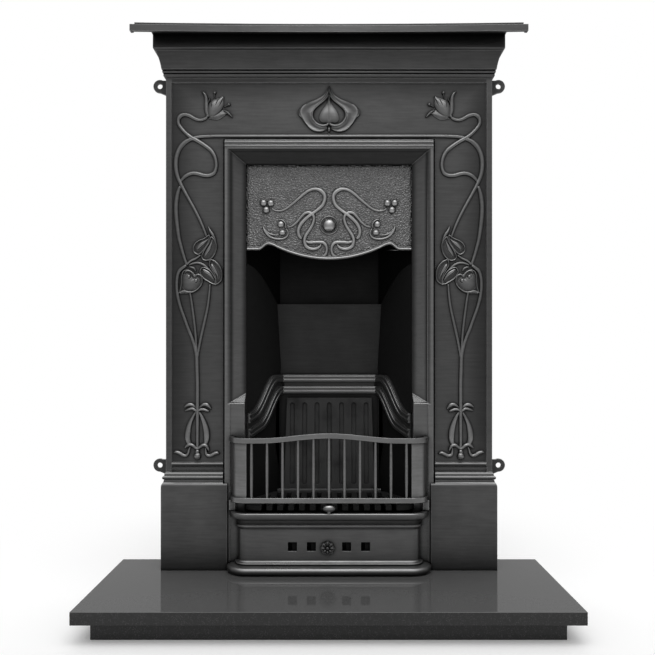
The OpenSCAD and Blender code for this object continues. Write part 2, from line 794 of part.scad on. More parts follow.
// The chamber's plan between the cheeks, drawn in by the gap g.
module chamber_prism(z, g) {
    upright(z, [[-chamber_x(back_d) + g, back_d], [chamber_x(back_d) - g, back_d],
        [chamber_x(ring_back) - g, ring_back], [-chamber_x(ring_back) + g, ring_back]]);
}

module fireback() {
    rim_low = rim_back_h - rim_w;
    half = back_w / 2 + rear_flange_w;
    above_hearth() color(soot) difference() {
        union() {
            wide_block(half, [fireback_rear, back_d], [0, rim_back_h]);
            intersection() {
                union() {
                    // leaning upper panel, rim and the ledge that the brick stands on
                    along_x([-half, half], [[back_d - back_t, rim_back_h - 1], [back_d, rim_back_h - 1],
                        [back_d, rim_back_h], [back_d + back_lean, cheek_back_h],
                        [back_d + back_lean - back_t, cheek_back_h], [back_d - back_t, rim_back_h]]);
                    along_x([-half, half], [[back_d - 1, rim_low], [back_d + rim_out, rim_low],
                        [back_d + rim_out, rim_low + roll_w], [back_d + 0.35 * rim_out, rim_low + roll_w],
                        [back_d + 0.35 * rim_out, rim_back_h - roll_w], [back_d + rim_out, rim_back_h - roll_w],
                        [back_d + rim_out, rim_back_h], [back_d - 1, rim_back_h]]);
                    wide_block(half, [back_d - 1, brick_front + 1], [brick_seat - ledge_t, brick_seat]);
                }
                union() {
                    chamber_prism([0, shelf_top], rim_out * cheek_l / chamber_d + gap);
                    chamber_prism([rim_back_h, shelf_top], gap);
                    wide_block(half, [rear_d, back_d], [0, rim_back_h]);
                    wide_block(back_w / 2 - gap, [rear_d, back_d], [0, shelf_top]);
                }
            }
        }
        forward(rear_spots, fireback_rear) bolt_hole(back_t + 1);
        forward(throat_spots, fireback_rear) bolt_hole(bolt_grip);
    }
}

module fireback_bolts() {
    above_hearth() color(soot) forward(rear_spots, fireback_rear) bolt(back_t + bolt_grip - 2);
}

brick_top_d = back_d + gap;
brick_front = brick_top_d + brick_lean + brick_t;

module back_brick() {
    top = brick_seat + brick_h;
    tilt = atan(brick_lean / brick_h);
    flute_low = 0.05 * brick_h;
    flute_high = 0.95 * brick_h - flute_w;
    above_hearth() color(soot) difference() {
        intersection() {
            along_x([-brick_w, brick_w], [[brick_top_d, brick_seat], [brick_front, brick_seat],
                [brick_top_d + brick_t, top], [brick_top_d, top]]);
            along_d([back_d - beyond, ring_back], [[-brick_w / 2, brick_seat], [brick_w / 2, brick_seat],
                [brick_top_w / 2, top], [-brick_top_w / 2, top]]);
        }
        translate([0, -brick_front, brick_seat]) rotate([-tilt, 0, 0])
            for (i = [0:flute_count - 1]) translate([(i - (flute_count - 1) / 2) * flute_pitch, 0, 0]) {
                translate([-flute_w / 2, -1, flute_low + flute_w / 2])
                    cube([flute_w, flute_depth + 1, flute_high - flute_low]);
                for (z = [flute_low, flute_high]) translate([0, flute_depth, z + flute_w / 2])
                    rotate([90, 0, 0]) cylinder(h = flute_depth + 1, d = flute_w);
            }
    }
}

// ---- bottom grate ----

grate_rear = brick_front + 4;
grate_front = corner_d + bars_r - rail_d - front_room;

module bottom_grate() {
    slope_gap = grate_gap * cheek_l / chamber_d;
    rear_half = chamber_x(grate_rear) - slope_gap;
    mid_half = opening_half - slope_gap;
    corner = [for (i = [0:8]) let (a = 90 * i / 8)
        [mid_half - grate_corner * (1 - cos(a)), grate_front - grate_corner * (1 - sin(a))]];
    slots = 2 * floor((mid_half - grate_corner / 2 - slot_w) / slot_pitch);
    bar_d = ring_back - 8;
    above_hearth() color(soot) difference() {
        upright([grate_z, grate_z + grate_t], concat([[-rear_half, grate_rear], [rear_half, grate_rear],
            [mid_half, ring_back]], corner,
            [for (i = [8:-1:0]) [-corner[i][0], corner[i][1]]], [[-mid_half, ring_back]]));
        for (i = [-slots / 2:slots / 2]) {
            x = i * slot_pitch;
            // a slot behind the cross bar, where the grate is wide enough for it
            rear_start = max(grate_rear + 14, back_d + (abs(x) + slot_w / 2 + 12 - back_w / 2) * chamber_d / cheek_dx);
            if (rear_start < bar_d - 2 * slot_w)
                block([x - slot_w / 2, x + slot_w / 2], [rear_start, bar_d], [grate_z - 1, grate_z + grate_t + 1]);
            block([x - slot_w / 2, x + slot_w / 2], [bar_d + 12, grate_front + 1],
                [grate_z - 1, grate_z + grate_t + 1]);
        }
    }
}

// ---- front bars ----

// A profile of [r, z] points, r counted from the middle of the rounded corners, which is
// carried round the front between the two ends that stand against the frame.
module carried_round(outline, end_d) {
    along_x([-corner_x, corner_x], [for (p = outline) [corner_d + p[0], p[1]]]);
    both_sides() round_end(outline, end_d);
}

module round_end(outline, end_d) {
    translate([corner_x, -corner_d, 0]) rotate([0, 0, -90]) rotate_extrude(angle = 90) polygon(outline);
    if (end_d < corner_d) along_d([end_d, corner_d], [for (p = outline) [corner_x + p[0], p[1]]]);
}

function rectangle(r, z) = [[r[0], z[0]], [r[1], z[0]], [r[1], z[1]], [r[0], z[1]]];

function rail_edge(x) = rail_h + (abs(x) < rise_half ? rail_rise * (1 + cos(180 * x / rise_half)) / 2 : 0);

// One upright bar, a little swollen at its middle.
module upright_bar(z0, z1) {
    n = 8;
    translate([0, 0, z0]) rotate_extrude() polygon(concat([[0, 0]],
        [for (i = [0:n]) [(bar_end_d + (bar_mid_d - bar_end_d) * sin(180 * i / n)) / 2, (z1 - z0) * i / n]],
        [[0, z1 - z0]]));
}

module front_bars() {
    rail_in = bars_r - rail_d;
    steps = 40;
    end_d = stile_front + gap;
    bar_d = corner_d + bars_r - rail_d / 2;
    above_hearth() color(iron) {
        along_d([corner_d + rail_in, corner_d + bars_r], concat(
            [for (i = [-steps:steps]) let (x = corner_x * i / steps) [x, rail_edge(x)]],
            [for (i = [steps:-1:-steps]) let (x = corner_x * i / steps) [x, rail_edge(x) - rail_t]]));
        both_sides() {
            round_end(rectangle([rail_in, bars_r], [rail_h - rail_t, rail_h]), end_d);
            round_end(rectangle([bars_r - end_back - end_t, bars_r - end_back], [low_rail_z + 1, rail_h - 1]), end_d);
            translate([pin_x, -pin_place_d, low_rail_z - pin_l]) cylinder(h = pin_l + 2, d = pin_d);
        }
        carried_round(rectangle([rail_in, bars_r], [low_rail_z, low_rail_top]), end_d);
        for (i = [0:bar_count - 1]) {
            x = (i - (bar_count - 1) / 2) * bar_pitch;
            translate([x, -bar_d, 0]) upright_bar(low_rail_top - 2, rail_edge(x) - rail_t + 2);
        }
    }
}

// ---- ash cover ----

foot_h = 0.135 * cover_h;
cover_profile = concat(
    [[foot_r - foot_h / 2, 0]], bead(foot_r - foot_h / 2, foot_h / 2, foot_h / 2),
    [[cover_r + 13, foot_h + 1], [cover_r + 10, foot_h + 1.5]],
    bead(cover_r + 6, foot_h + 4.4, 2.5, 6),
    [[cover_r + 3, foot_h + 7.5], [cover_r, foot_h + 11], [cover_r, 0.72 * cover_h]],
    bead(cover_r + 2, 0.77 * cover_h, 4.5),
    [[cover_r + 3, 0.81 * cover_h]],
    [for (i = [0:5]) let (a = 90 * i / 5) [cover_r + 3 + (bars_r - cover_r - 7) * (1 - cos(a)),
        0.81 * cover_h + 0.09 * cover_h * sin(a)]],
    [[bars_r - 1, 0.905 * cover_h], [bars_r, 0.92 * cover_h], [bars_r, 0.985 * cover_h],
     [bars_r - 2, cover_h], [bars_r - 13, cover_h], [bars_r - 15, 0.9 * cover_h],
     [cover_r - cover_t, 0.8 * cover_h], [cover_r - cover_t, 0]]);
knob_d = corner_d + bars_r - 6;
inner_part = rectangle([cover_r - cover_t, stile_half - lip_clear - corner_x], [-1, cover_h + 1]);

vents = [-vent_out, -vent_in, vent_in, vent_out];
rosette_z = vent_z - rosette_drop;
slide_d = cover_inner - slide_gap;
guide_lip = 3;
guide_l = slide_w + 2 * slide_travel + 8;
screw_d = 4;
screw_spots = [for (s = [-1, 1], t = [-1, 1]) [s * 0.42 * guide_l, vent_z + t * (slide_h / 2 + 5)]];

module ash_cover() {
    above_hearth() color(iron) difference() {
        union() {
            carried_round(cover_profile, corner_d);
            // the inner part of the ends runs on to the frame
            both_sides() intersection() {
                along_d([stile_front + gap, corner_d], [for (p = cover_profile) [corner_x + p[0], p[1]]]);
                along_d([body_d, corner_d + 1], [for (p = inner_part) [corner_x + p[0], p[1]]]);
            }
        }
        for (x = vents) block([x - vent / 2, x + vent / 2], [cover_inner - 1, cover_front + beyond],
            [vent_z - vent / 2, vent_z + vent / 2]);
        // slot for the rosette's shaft
        translate([-rosette_left, 0, 0]) wide_block(slide_travel + shaft_r + gap,
            [cover_inner - 1, cover_front + 1], [rosette_z - shaft_r - gap, rosette_z + shaft_r + gap]);
        forward(screw_spots, cover_inner) bolt_hole(4, screw_d);
        translate([0, -(knob_d), cover_h - 8]) cylinder(h = 9, d = 6.4);
    }
}

module ash_cover_knob() {
    n = 10;
    above_hearth() color(iron) translate([0, -(knob_d), 0]) {
        translate([0, 0, cover_h - 7]) cylinder(h = 12, d = 6);
        translate([0, 0, cover_h]) cylinder(h = 4, r = 5.5);
        translate([-oval_x, 0, cover_h + 2 + oval_z]) rotate([0, 90, 0]) rotate_extrude()
            polygon([for (i = [0:2 * n]) let (a = 180 * i / (2 * n)) [oval_z * sin(a), oval_x * (1 - cos(a))]]);
    }
}

// One guide: a bar above or below the slide, with a lip behind the slide.
module guide(side) {
    edge = vent_z + side * (slide_h / 2 + 0.5);
    outer = edge + side * 9;
    lip_z = edge - side * 4;
    back = slide_d - slide_t - slide_gap;
    along_x([-guide_l / 2, guide_l / 2], [[cover_inner, edge], [cover_inner, outer],
        [back - guide_lip, outer], [back - guide_lip, lip_z], [back, lip_z], [back, edge]]);
}

guide_back = slide_d - slide_t - slide_gap - guide_lip;

module vent_guides() {
    above_hearth() color(soot) difference() {
        for (side = [-1, 1]) guide(side);
        forward(screw_spots, guide_back) bolt_hole(beyond, screw_d);
    }
}

module guide_screws() {
    above_hearth() color(soot) forward(screw_spots, guide_back)
        screw(cover_inner - guide_back + 3.5);
}

module screw(l) {
    translate([0, 0, -2]) cylinder(h = 2, d = 8);
    translate([0, 0, -0.5]) cylinder(h = l + 0.5, d = screw_d);
}

// The slide's holes meet the vents when it stands at the right end of its travel.
module vent_slide() {
    above_hearth() color(soot) difference() {
        wide_block(slide_w / 2, [slide_d - slide_t, slide_d],
            [vent_z - slide_h / 2, vent_z + slide_h / 2]);
        for (x = vents) let (m = x - slide_travel) block([m - vent / 2, m + vent / 2],
            [slide_d - slide_t - 1, slide_d + 1], [vent_z - vent / 2, vent_z + vent / 2]);
        translate([-rosette_left, -slide_d - 1, rosette_z]) rotate([-90, 0, 0])
            cylinder(h = slide_t + 2, r = shaft_r - 0.4);
    }
}

module vent_knob() {
    petals = 8;
    front = cover_front + gap;
    above_hearth() color(iron) translate([-rosette_left, -front, rosette_z]) rotate([90, 0, 0]) {
        cylinder(h = 0.6 * rosette_t, r = 0.6 * rosette_r);
        for (i = [0:petals - 1]) rotate([0, 0, 360 * i / petals])
            translate([0.68 * rosette_r, 0, 0]) cylinder(h = 0.8 * rosette_t, r = 0.32 * rosette_r);
        cylinder(h = rosette_t, r = 0.22 * rosette_r);
        translate([0, 0, -(front - slide_d)]) cylinder(h = front - slide_d + 1, r = shaft_r);
        translate([0, 0, -(front - slide_d) - slide_t]) cylinder(h = slide_t + 1, r = shaft_r - 0.5);
    }
}

// ---- ash pan ----

pan_front = cover_inner - pan_gap - bolt_head_t - 2;
pan_rear = back_d + pan_gap;
handle_t = 4;
handle_out = 11;

// Plan of the pan, drawn in by the distance o. Its rear part narrows with the cheeks.
function pan_plan(o) = let (half = pan_w / 2 - o, side = o * cheek_l / chamber_d + 8,
        bend_d = back_d + (half + side - back_w / 2) * chamber_d / cheek_dx, rear = pan_rear + o)
    [[-chamber_x(rear) + side, rear], [chamber_x(rear) - side, rear], [half, bend_d],
     [half, pan_front - o], [-half, pan_front - o], [-half, bend_d]];

module ash_pan() {
    above_hearth() color(soot) difference() {
        upright([0, pan_h], pan_plan(0));
        upright([pan_t, pan_h + 1], pan_plan(pan_t));
    }
}

module ash_pan_handle() {
    half = handle_w / 2;
    above_hearth() color(soot) {
        both_sides() block([half - handle_t, half], [pan_front, pan_front + handle_out],
            [0.68 * pan_h, 0.68 * pan_h + 12]);
        wide_block(half, [pan_front + handle_out - handle_t, pan_front + handle_out],
            [0.68 * pan_h, 0.68 * pan_h + 12]);
    }
}

// ---- throat and damper ----

pin_damper_z = damper_z + sheet_t + gap + knuckle_r;
throat_in = cheek_t + gap;    // the throat's sides stand just outside the cheeks
throat_front = seat_d;
damper_rear = back_d + 38;
damper_front = damper_rear + damper_d;
pin_damper_d = damper_rear - flap_lap - knuckle_r - 4;
pin_half = damper_w / 2 + flap_lap + 14;

// Plan of the throat, "out" square to the cheeks, between the distances "rear" and "front".
function throat_plan(out, rear, front = throat_front) = [[-chamber_x(rear, out), rear],
    [chamber_x(rear, out), rear], [chamber_x(front, out), front], [-chamber_x(front, out), front]];

module throat_box() {
    outer = throat_in + sheet_t;
    z0 = cheek_back_h - throat_lap;
    outlet_front = throat_front - outlet_in;
    above_hearth() color(soot) {
        difference() {
            union() {
                upright([z0, throat_h], throat_plan(outer, rear_d));
                wide_block(chamber_x(rear_d, outer), [rear_d, fireback_rear], [throat_low, throat_h]);
                wide_block(outlet_w / 2 + sheet_t, [outlet_front - outlet_d - sheet_t, outlet_front + sheet_t],
                    [throat_h - 1, throat_h + outlet_h]);
            }
            difference() {
                upright([z0 - 1, throat_h - sheet_t], throat_plan(throat_in, fireback_rear, throat_front + 1));
                // the plate that carries the damper
                difference() {
                    upright([damper_z, damper_z + sheet_t], throat_plan(throat_in + 1, fireback_rear - 1));
                    wide_block(damper_w / 2, [damper_rear, damper_front], [damper_z - 1, damper_z + sheet_t + 1]);
                }
            }
            wide_block(outlet_w / 2, [outlet_front - outlet_d, outlet_front],
                [throat_h - 2 * sheet_t, throat_h + outlet_h + 1]);
            forward(throat_spots, rear_d) bolt_hole(sheet_t + 1);
        }
        both_sides() hinge_ear();
    }
}

// An ear on the damper's plate that holds the end of the pin.
module hinge_ear() {
    difference() {
        block([pin_half - 6, pin_half], [pin_damper_d - knuckle_r, pin_damper_d + knuckle_r],
            [damper_z + sheet_t - 0.5, pin_damper_z + knuckle_r]);
        translate([pin_half - 7, -pin_damper_d, pin_damper_z]) rotate([0, 90, 0])
            cylinder(h = 8, r = hinge_r + 0.05);
    }
}

module throat_bolts() {
    above_hearth() color(soot) forward(throat_spots, rear_d) bolt(sheet_t + bolt_grip - 1);
}

module damper_pin() {
    above_hearth() color("#6b6b6b") translate([-pin_half, -pin_damper_d, pin_damper_z])
        rotate([0, 90, 0]) cylinder(h = 2 * pin_half, r = hinge_r);
}

flap_z = damper_z + sheet_t + gap;
lever_d = damper_front - 40;

module damper_flap() {
    half = damper_w / 2 + flap_lap;
    above_hearth() color(soot) difference() {
        union() {
            wide_block(half, [damper_rear - flap_lap, damper_front + flap_lap], [flap_z, flap_z + flap_t]);
            both_sides() {
                block([0.64 * half, 0.91 * half], [pin_damper_d, damper_rear],
                    [flap_z, flap_z + flap_t]);
                translate([0.64 * half, -pin_damper_d, pin_damper_z]) rotate([0, 90, 0])
                    cylinder(h = 0.27 * half, r = knuckle_r);
            }
        }
        translate([-half, -pin_damper_d, pin_damper_z]) rotate([0, 90, 0])
            cylinder(h = 2 * half, r = hinge_r + 0.05);
    }
}

module damper_lever() {
    above_hearth() color(soot) {
        wide_block(lever_w / 2, [lever_d - lever_t, lever_d], [flap_z - lever_l, flap_z]);
        wide_block(lever_w / 2, [lever_d, lever_d + lever_foot], [flap_z - lever_l, flap_z - lever_l + lever_t]);
    }
}

hearth_bed();
hearth_slab();
riser_front();
riser_left();
riser_right();
front_panel();
mantel_shelf();
shelf_bolts();
insert_frame();
insert_bolts();
canopy();
canopy_bolts();
cheek_left();
cheek_right();
cheek_bolts();
fireback();
fireback_bolts();
back_brick();
bottom_grate();
front_bars();
ash_cover();
ash_cover_knob();
vent_guides();
guide_screws();
vent_slide();
vent_knob();
ash_pan();
ash_pan_handle();
throat_box();
throat_bolts();
damper_flap();
damper_pin();
damper_lever();
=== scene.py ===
"""Dresses a cast iron fireplace that stands on a polished stone hearth.

The frame gives every solid in its place. Here the castings get soft edges, the traditional whiplash
flowers in relief, the hammered canopy, the moulded rims, and the finishes of blackened iron and stone.
Lengths in the tables are millimetres: x to the right, z above the hearth's top.
"""
import math

import bmesh
import bpy
import numpy as np
from bpy.props import FloatProperty, FloatVectorProperty, PointerProperty
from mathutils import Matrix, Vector


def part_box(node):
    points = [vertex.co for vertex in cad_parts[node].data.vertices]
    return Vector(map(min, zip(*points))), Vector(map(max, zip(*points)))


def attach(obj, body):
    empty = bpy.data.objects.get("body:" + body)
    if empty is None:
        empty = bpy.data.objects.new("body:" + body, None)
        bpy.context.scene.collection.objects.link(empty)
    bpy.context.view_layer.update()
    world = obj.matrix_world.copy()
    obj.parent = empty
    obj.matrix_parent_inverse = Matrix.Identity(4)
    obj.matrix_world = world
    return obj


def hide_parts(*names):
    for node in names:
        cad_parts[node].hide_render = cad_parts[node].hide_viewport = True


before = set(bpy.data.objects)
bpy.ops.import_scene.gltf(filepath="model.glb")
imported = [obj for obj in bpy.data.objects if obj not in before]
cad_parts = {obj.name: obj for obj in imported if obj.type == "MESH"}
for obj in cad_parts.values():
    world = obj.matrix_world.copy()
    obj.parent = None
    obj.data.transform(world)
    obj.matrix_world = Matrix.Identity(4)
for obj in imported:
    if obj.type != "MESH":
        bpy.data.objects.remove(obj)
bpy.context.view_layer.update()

bl_info = {
    "name": "Cast iron fireplace",
    "version": (1, 0, 0),
    "blender": (4, 5, 0),
    "location": "3D View > Sidebar > Fireplace",
    "description": "Dresses the frame of a cast iron fireplace: relief, soft edges, finishes and studio",
    "category": "Object",
}

MM = 0.001
HEARTH_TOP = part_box("hearth_slab")[1].z / MM

# ---- the ornament, in mm: (x, z, half width, height) along a stem, (x, z) round a petal ----

# the left half of the tall stems with their buds; the right half mirrors it
JAMB_STEMS = {
    "stem_tulip": [
        (-300, 1116, 2.2, 2.2), (-306, 1112, 3.2, 3), (-314, 1109, 3.5, 3.2), (-323, 1109, 3.6, 3.4),
        (-333, 1113, 3.7, 3.5), (-346, 1120, 4, 3.5), (-358, 1122, 4.2, 3.5), (-367, 1118, 4.4, 3.5),
        (-372, 1110, 4.4, 3.3),
        (-371, 1098, 4.2, 3.3), (-363, 1086, 4, 3.5), (-352, 1075, 4, 4), (-339, 1065, 4.2, 4.8),
        (-324, 1057, 4.2, 4.2), (-307, 1046, 4.2, 3.8), (-292, 1034, 4.2, 3.6), (-283, 1020, 4.2, 3.4),
        (-279, 1005, 4.2, 3.2), (-279, 991, 4.2, 3.2), (-284, 978, 4.2, 3.4), (-295, 972, 4.2, 3.6),
        (-309, 972, 4.2, 3.6), (-324, 976, 4.2, 3.6), (-337, 977, 4.2, 3.6), (-351, 972, 4, 3.5),
        (-361, 964, 3.5, 3.2), (-367, 956, 2.5, 2.6)],
    "stem_loop": [
        (-284, 1069, 3.7, 3.8), (-309, 1068, 3.7, 3.8), (-326, 1066, 4, 3.6), (-344, 1060, 4.4, 3.4),
        (-357, 1052, 4.9, 3.2), (-368, 1040, 5.2, 3.2), (-375, 1024, 5.4, 3.2), (-378, 1008, 5.4, 3.2),
        (-378, 991, 5.2, 3.2), (-375, 973, 4.9, 3.2), (-369, 957, 4.4, 3.4), (-361, 941, 4, 3.6),
        (-349, 919, 3.7, 3.6), (-335, 894, 3.5, 3.6), (-321, 867, 3.5, 3.5), (-310, 842, 3.2, 3.4),
        (-302, 821, 2.7, 3)],
    "stem_outer": [
        (-367, 946, 3, 2.6), (-372, 934, 4.4, 3), (-376, 916, 5.2, 3), (-378, 894, 5.2, 3),
        (-377, 869, 5.2, 3), (-374, 842, 4.9, 3), (-370, 815, 4.4, 3), (-363, 788, 4, 3.1),
        (-357, 768, 3.7, 3.2), (-351, 751, 3.2, 3.4)],
    "link": [
        (-316, 776, 2.5, 3), (-328, 767, 3, 3.2), (-339, 762, 3.2, 3.2), (-347, 756, 3.2, 3.4),
        (-352, 750, 3.2, 3.4)],
    "stem_bloom": [
        (-344, 687, 2.5, 2.6), (-340, 664, 3, 3), (-336, 635, 3.2, 3), (-332, 603, 3.2, 3),
        (-329, 571, 3.2, 3), (-327, 536, 3, 3)],
    "stem_petals": [
        (-294, 704, 2.5, 2.6), (-296, 677, 3, 3), (-300, 647, 3.2, 3), (-308, 610, 3.5, 3),
        (-316, 575, 3.5, 3), (-322, 543, 3.2, 3), (-326, 518, 3, 3)],
    "stem_main": [
        (-351, 751, 3.2, 3.6), (-362, 743, 3.7, 3.4), (-371, 734, 4, 3.2), (-375, 719, 4, 3.2),
        (-376, 701, 4, 3.2), (-375, 684, 4, 3.2), (-372, 667, 4, 3.2), (-366, 645, 3.7, 3.2),
        (-357, 620, 3.7, 3.2), (-348, 595, 3.7, 3.2), (-339, 573, 3.7, 3.3), (-332, 551, 4, 3.4),
        (-327, 526, 4.4, 3.6), (-326, 496, 4.4, 3.6), (-325, 462, 4.4, 3.6), (-325, 427, 4.4, 3.6),
        (-325, 390, 4.2, 3.6), (-325, 356, 4, 3.4), (-325, 319, 3.7, 3.4), (-325, 296, 3.5, 3.2)],
    "arc": [
        (-347, 750, 2.2, 2.6), (-337, 754, 3, 3.2), (-324, 756, 3.2, 3.4), (-311, 752, 3.2, 3.4),
        (-302, 745, 3, 3.2), (-293, 736, 2.2, 2.6)],
    "inner_arc": [
        (-347, 746, 1.7, 2), (-339, 745, 2.7, 2.8), (-332, 741, 2.7, 2.8), (-329, 734, 1.7, 2.2)],
    "sepal": [
        (-298, 847, 0.8, 2), (-294, 836, 3.4, 4), (-287, 826, 4, 4.4), (-282, 817, 2.4, 3.6),
        (-279, 808, 0.8, 2)],
    "seed_one": [
        (-326, 787, 1.4, 2.6), (-322, 794, 4.4, 4.2), (-314, 802, 5.2, 4.6), (-306, 808, 3.4, 3.8),
        (-298, 815, 0.8, 2)],
    "seed_two": [
        (-307, 771, 2.2, 2.6), (-303, 780, 4.4, 3.8), (-297, 790, 5, 4.6), (-292, 800, 3.6, 4),
        (-287, 813, 0.8, 2)],
    "seed_three": [
        (-292, 754, 2.4, 3), (-288, 748, 4.6, 4.6), (-283, 740, 4.8, 4.6), (-277, 730, 3.8, 3.8),
        (-272, 717, 1, 2)],
    "seed_four": [
        (-313, 741, 2, 3), (-306, 736, 4.6, 4.6), (-297, 730, 5, 4.8), (-290, 723, 3.4, 3.8),
        (-283, 713, 0.8, 2)],
    "bloom_foot": [
        (-374, 680, 0.8, 2), (-367, 684, 2.2, 3.6), (-357, 686, 2.9, 4.4), (-347, 684, 2.8, 4.4),
        (-337, 684, 2.5, 4.2), (-327, 689, 2.2, 4), (-319, 697, 1.8, 3.6), (-315, 708, 1.4, 3)],
    "bloom_arch": [
        (-357, 728, 1, 2.4), (-353, 735, 1.9, 3.6), (-345, 736, 2, 3.6), (-338, 732, 1.8, 3.4),
        (-334, 725, 1.8, 3.2), (-331, 722, 2, 3.4), (-325, 727, 2, 3.6), (-318, 725, 1.7, 3.2)],
    "tulip_left": [
        (-297, 1116, 2, 2.4), (-302, 1127, 5, 2.8), (-303, 1141, 6, 3), (-303, 1155, 5.6, 3.2),
        (-304, 1166, 4.4, 4.2), (-308, 1174, 3.4, 4.8), (-315, 1180, 0.8, 2.4)],
    "tulip_right": [
        (-262, 1134, 0.8, 4), (-255, 1130, 2.4, 5.4), (-248, 1125, 2.6, 5.6), (-242, 1119, 2, 4.6),
        (-238, 1114, 0.8, 2)],
    "tulip_rib1": [
        (-291, 1138, 1, 5.2), (-290, 1148, 1.5, 6.8), (-289, 1156, 0.8, 4)],
    "tulip_rib2": [
        (-282, 1140, 1, 5.6), (-277, 1151, 1.8, 7), (-272, 1162, 0.8, 3.4)],
    "tulip_rib3": [
        (-274, 1138, 1, 5.4), (-267, 1150, 2, 6.6), (-260, 1168, 0.8, 2.4)],
    "stamen_a": [
        (-285, 1160, 0.9, 2.4), (-283, 1167, 1.2, 2.6), (-282, 1174, 1.4, 3)],
    "stamen_b": [
        (-260, 1140, 0.9, 2.4), (-254, 1143, 1.2, 2.6), (-248, 1146, 1.4, 3)],
    "stamen_c": [
        (-299, 1150, 0.9, 3), (-295, 1158, 1.8, 4), (-296, 1165, 0.8, 2.4)],
    "bow_a": [
        (-358, 398, 1.4, 2.4), (-351, 404, 4, 4), (-342, 406, 5, 4.6), (-334, 403, 4, 4),
        (-328, 397, 2, 2.6)],
    "bow_b": [
        (-321, 398, 2, 2.6), (-312, 405, 4.2, 4), (-303, 406, 5.2, 4.6), (-296, 401, 4, 4),
        (-290, 394, 1.4, 2.2)],
    "bow_c": [
        (-357, 390, 1.4, 2.4), (-347, 394, 3.8, 4.2), (-337, 396, 4.4, 4.8), (-330, 392, 3.8, 4.6),
        (-325, 387, 2.6, 3.6)],
    "bow_d": [
        (-326, 387, 2.6, 3.6), (-319, 393, 4, 4.6), (-310, 394, 4.4, 4.8), (-301, 391, 3.8, 4.2),
        (-294, 389, 1.4, 2.4)],
    "scroll": [
        (-357, 297, 2, 2.6), (-352, 303, 4, 4), (-344, 307, 4.8, 4.8), (-336, 305, 4.8, 5),
        (-330, 300, 4.2, 4.6), (-325, 297, 3.8, 4.4), (-319, 301, 4.2, 4.6), (-311, 306, 4.8, 5),
        (-303, 304, 4.6, 4.8), (-298, 297, 3.6, 4), (-296, 290, 2, 2.6)],
    "scroll_l": [
        (-384, 287, 1.6, 2.6), (-377, 289, 4.2, 4.8), (-368, 286, 5, 5.2), (-360, 281, 5, 5),
        (-353, 280, 4.6, 4.6), (-348, 286, 4, 4), (-346, 294, 3.4, 3.6), (-342, 302, 2, 2.6)],
    "scroll_r": [
        (-305, 300, 2, 2.6), (-304, 290, 3.6, 3.8), (-301, 282, 4.4, 4.6), (-294, 280, 5, 5),
        (-285, 284, 5, 5.2), (-277, 287, 4.4, 4.8), (-269, 284, 1.8, 2.6)],
}
# broad leaves, by their middle line
JAMB_LOBES = {
    "lobe_l": [
        (-329, 388, 2.4, 2.6), (-336, 376, 4.4, 3.6), (-344, 358, 6.2, 4), (-348, 341, 7.6, 4.2),
        (-349, 325, 7.8, 4.2), (-346, 312, 6.4, 3.8), (-341, 302, 4, 3)],
    "lobe_r": [
        (-321, 388, 2.4, 2.6), (-314, 376, 4.6, 3.8), (-307, 358, 6.6, 4.4), (-303, 341, 8, 4.8),
        (-302, 325, 8, 4.6), (-304, 312, 6.4, 4), (-309, 302, 4, 3)],
}
# petals, by their outline
JAMB_PETALS = {
    "bud_one": [
        (-296, 824), (-308, 816), (-320, 811), (-329, 805), (-334, 797), (-335, 788), (-331, 781),
        (-323, 777), (-315, 782), (-307, 792), (-300, 803), (-297, 814)],
    "bud_two": [
        (-292, 819), (-297, 805), (-305, 792), (-312, 779), (-314, 771), (-310, 764), (-301, 762),
        (-292, 766), (-284, 776), (-279, 788), (-278, 800), (-282, 811), (-287, 818)],
    "petal_three": [
        (-293, 763), (-282, 760), (-272, 750), (-266, 739), (-264, 726), (-266, 714), (-273, 706),
        (-282, 703), (-279, 716), (-283, 730), (-290, 741), (-295, 751)],
    "petal_four": [
        (-318, 737), (-313, 744), (-304, 743), (-294, 737), (-286, 727), (-280, 716), (-279, 706),
        (-286, 704), (-297, 710), (-307, 716), (-314, 724), (-318, 732)],
    "bloom": [
        (-360, 734), (-352, 738), (-343, 736), (-336, 731), (-331, 725), (-324, 728), (-316, 724),
        (-313, 714), (-315, 703), (-323, 692), (-334, 685), (-346, 682), (-358, 682), (-368, 683),
        (-365, 699), (-364, 714), (-363, 725)],
}
# swelling parts without a rim: their height, then their outline
JAMB_DOMES = {
    "tulip_cup": (3.4, [
        (-297, 1113), (-286, 1110), (-274, 1110), (-264, 1115), (-255, 1122), (-249, 1125), (-255, 1130),
        (-262, 1133), (-268, 1130), (-277, 1124), (-288, 1118)]),
    "tulip_body": (5.6, [
        (-295, 1117), (-298, 1128), (-298, 1139), (-295, 1149), (-291, 1154), (-286, 1158), (-280, 1160),
        (-271, 1163), (-261, 1166), (-261, 1157), (-261, 1146), (-265, 1136), (-271, 1129), (-280, 1122),
        (-288, 1117)]),
    "bloom_body": (3.2, [
        (-361, 724), (-352, 729), (-342, 724), (-334, 716), (-326, 720), (-319, 712), (-320, 702),
        (-328, 694), (-340, 689), (-353, 689), (-361, 696), (-363, 710)]),
}
# round bosses: (x, z, radius, height)
JAMB_KNOBS = {
    "knobs": [
        (-346, 722, 6.2, 6.6), (-328, 712, 6, 6.2)],
    "drop": [
        (-325, 279, 9.4, 6.4), (-325, 290, 6.2, 5.4)],
    "tulip_dots": [
        (-282, 1176, 3.9, 4.8), (-247, 1147, 3.9, 4.8), (-301, 1117, 3.4, 4), (-290, 1115, 2.6, 4.4)],
}
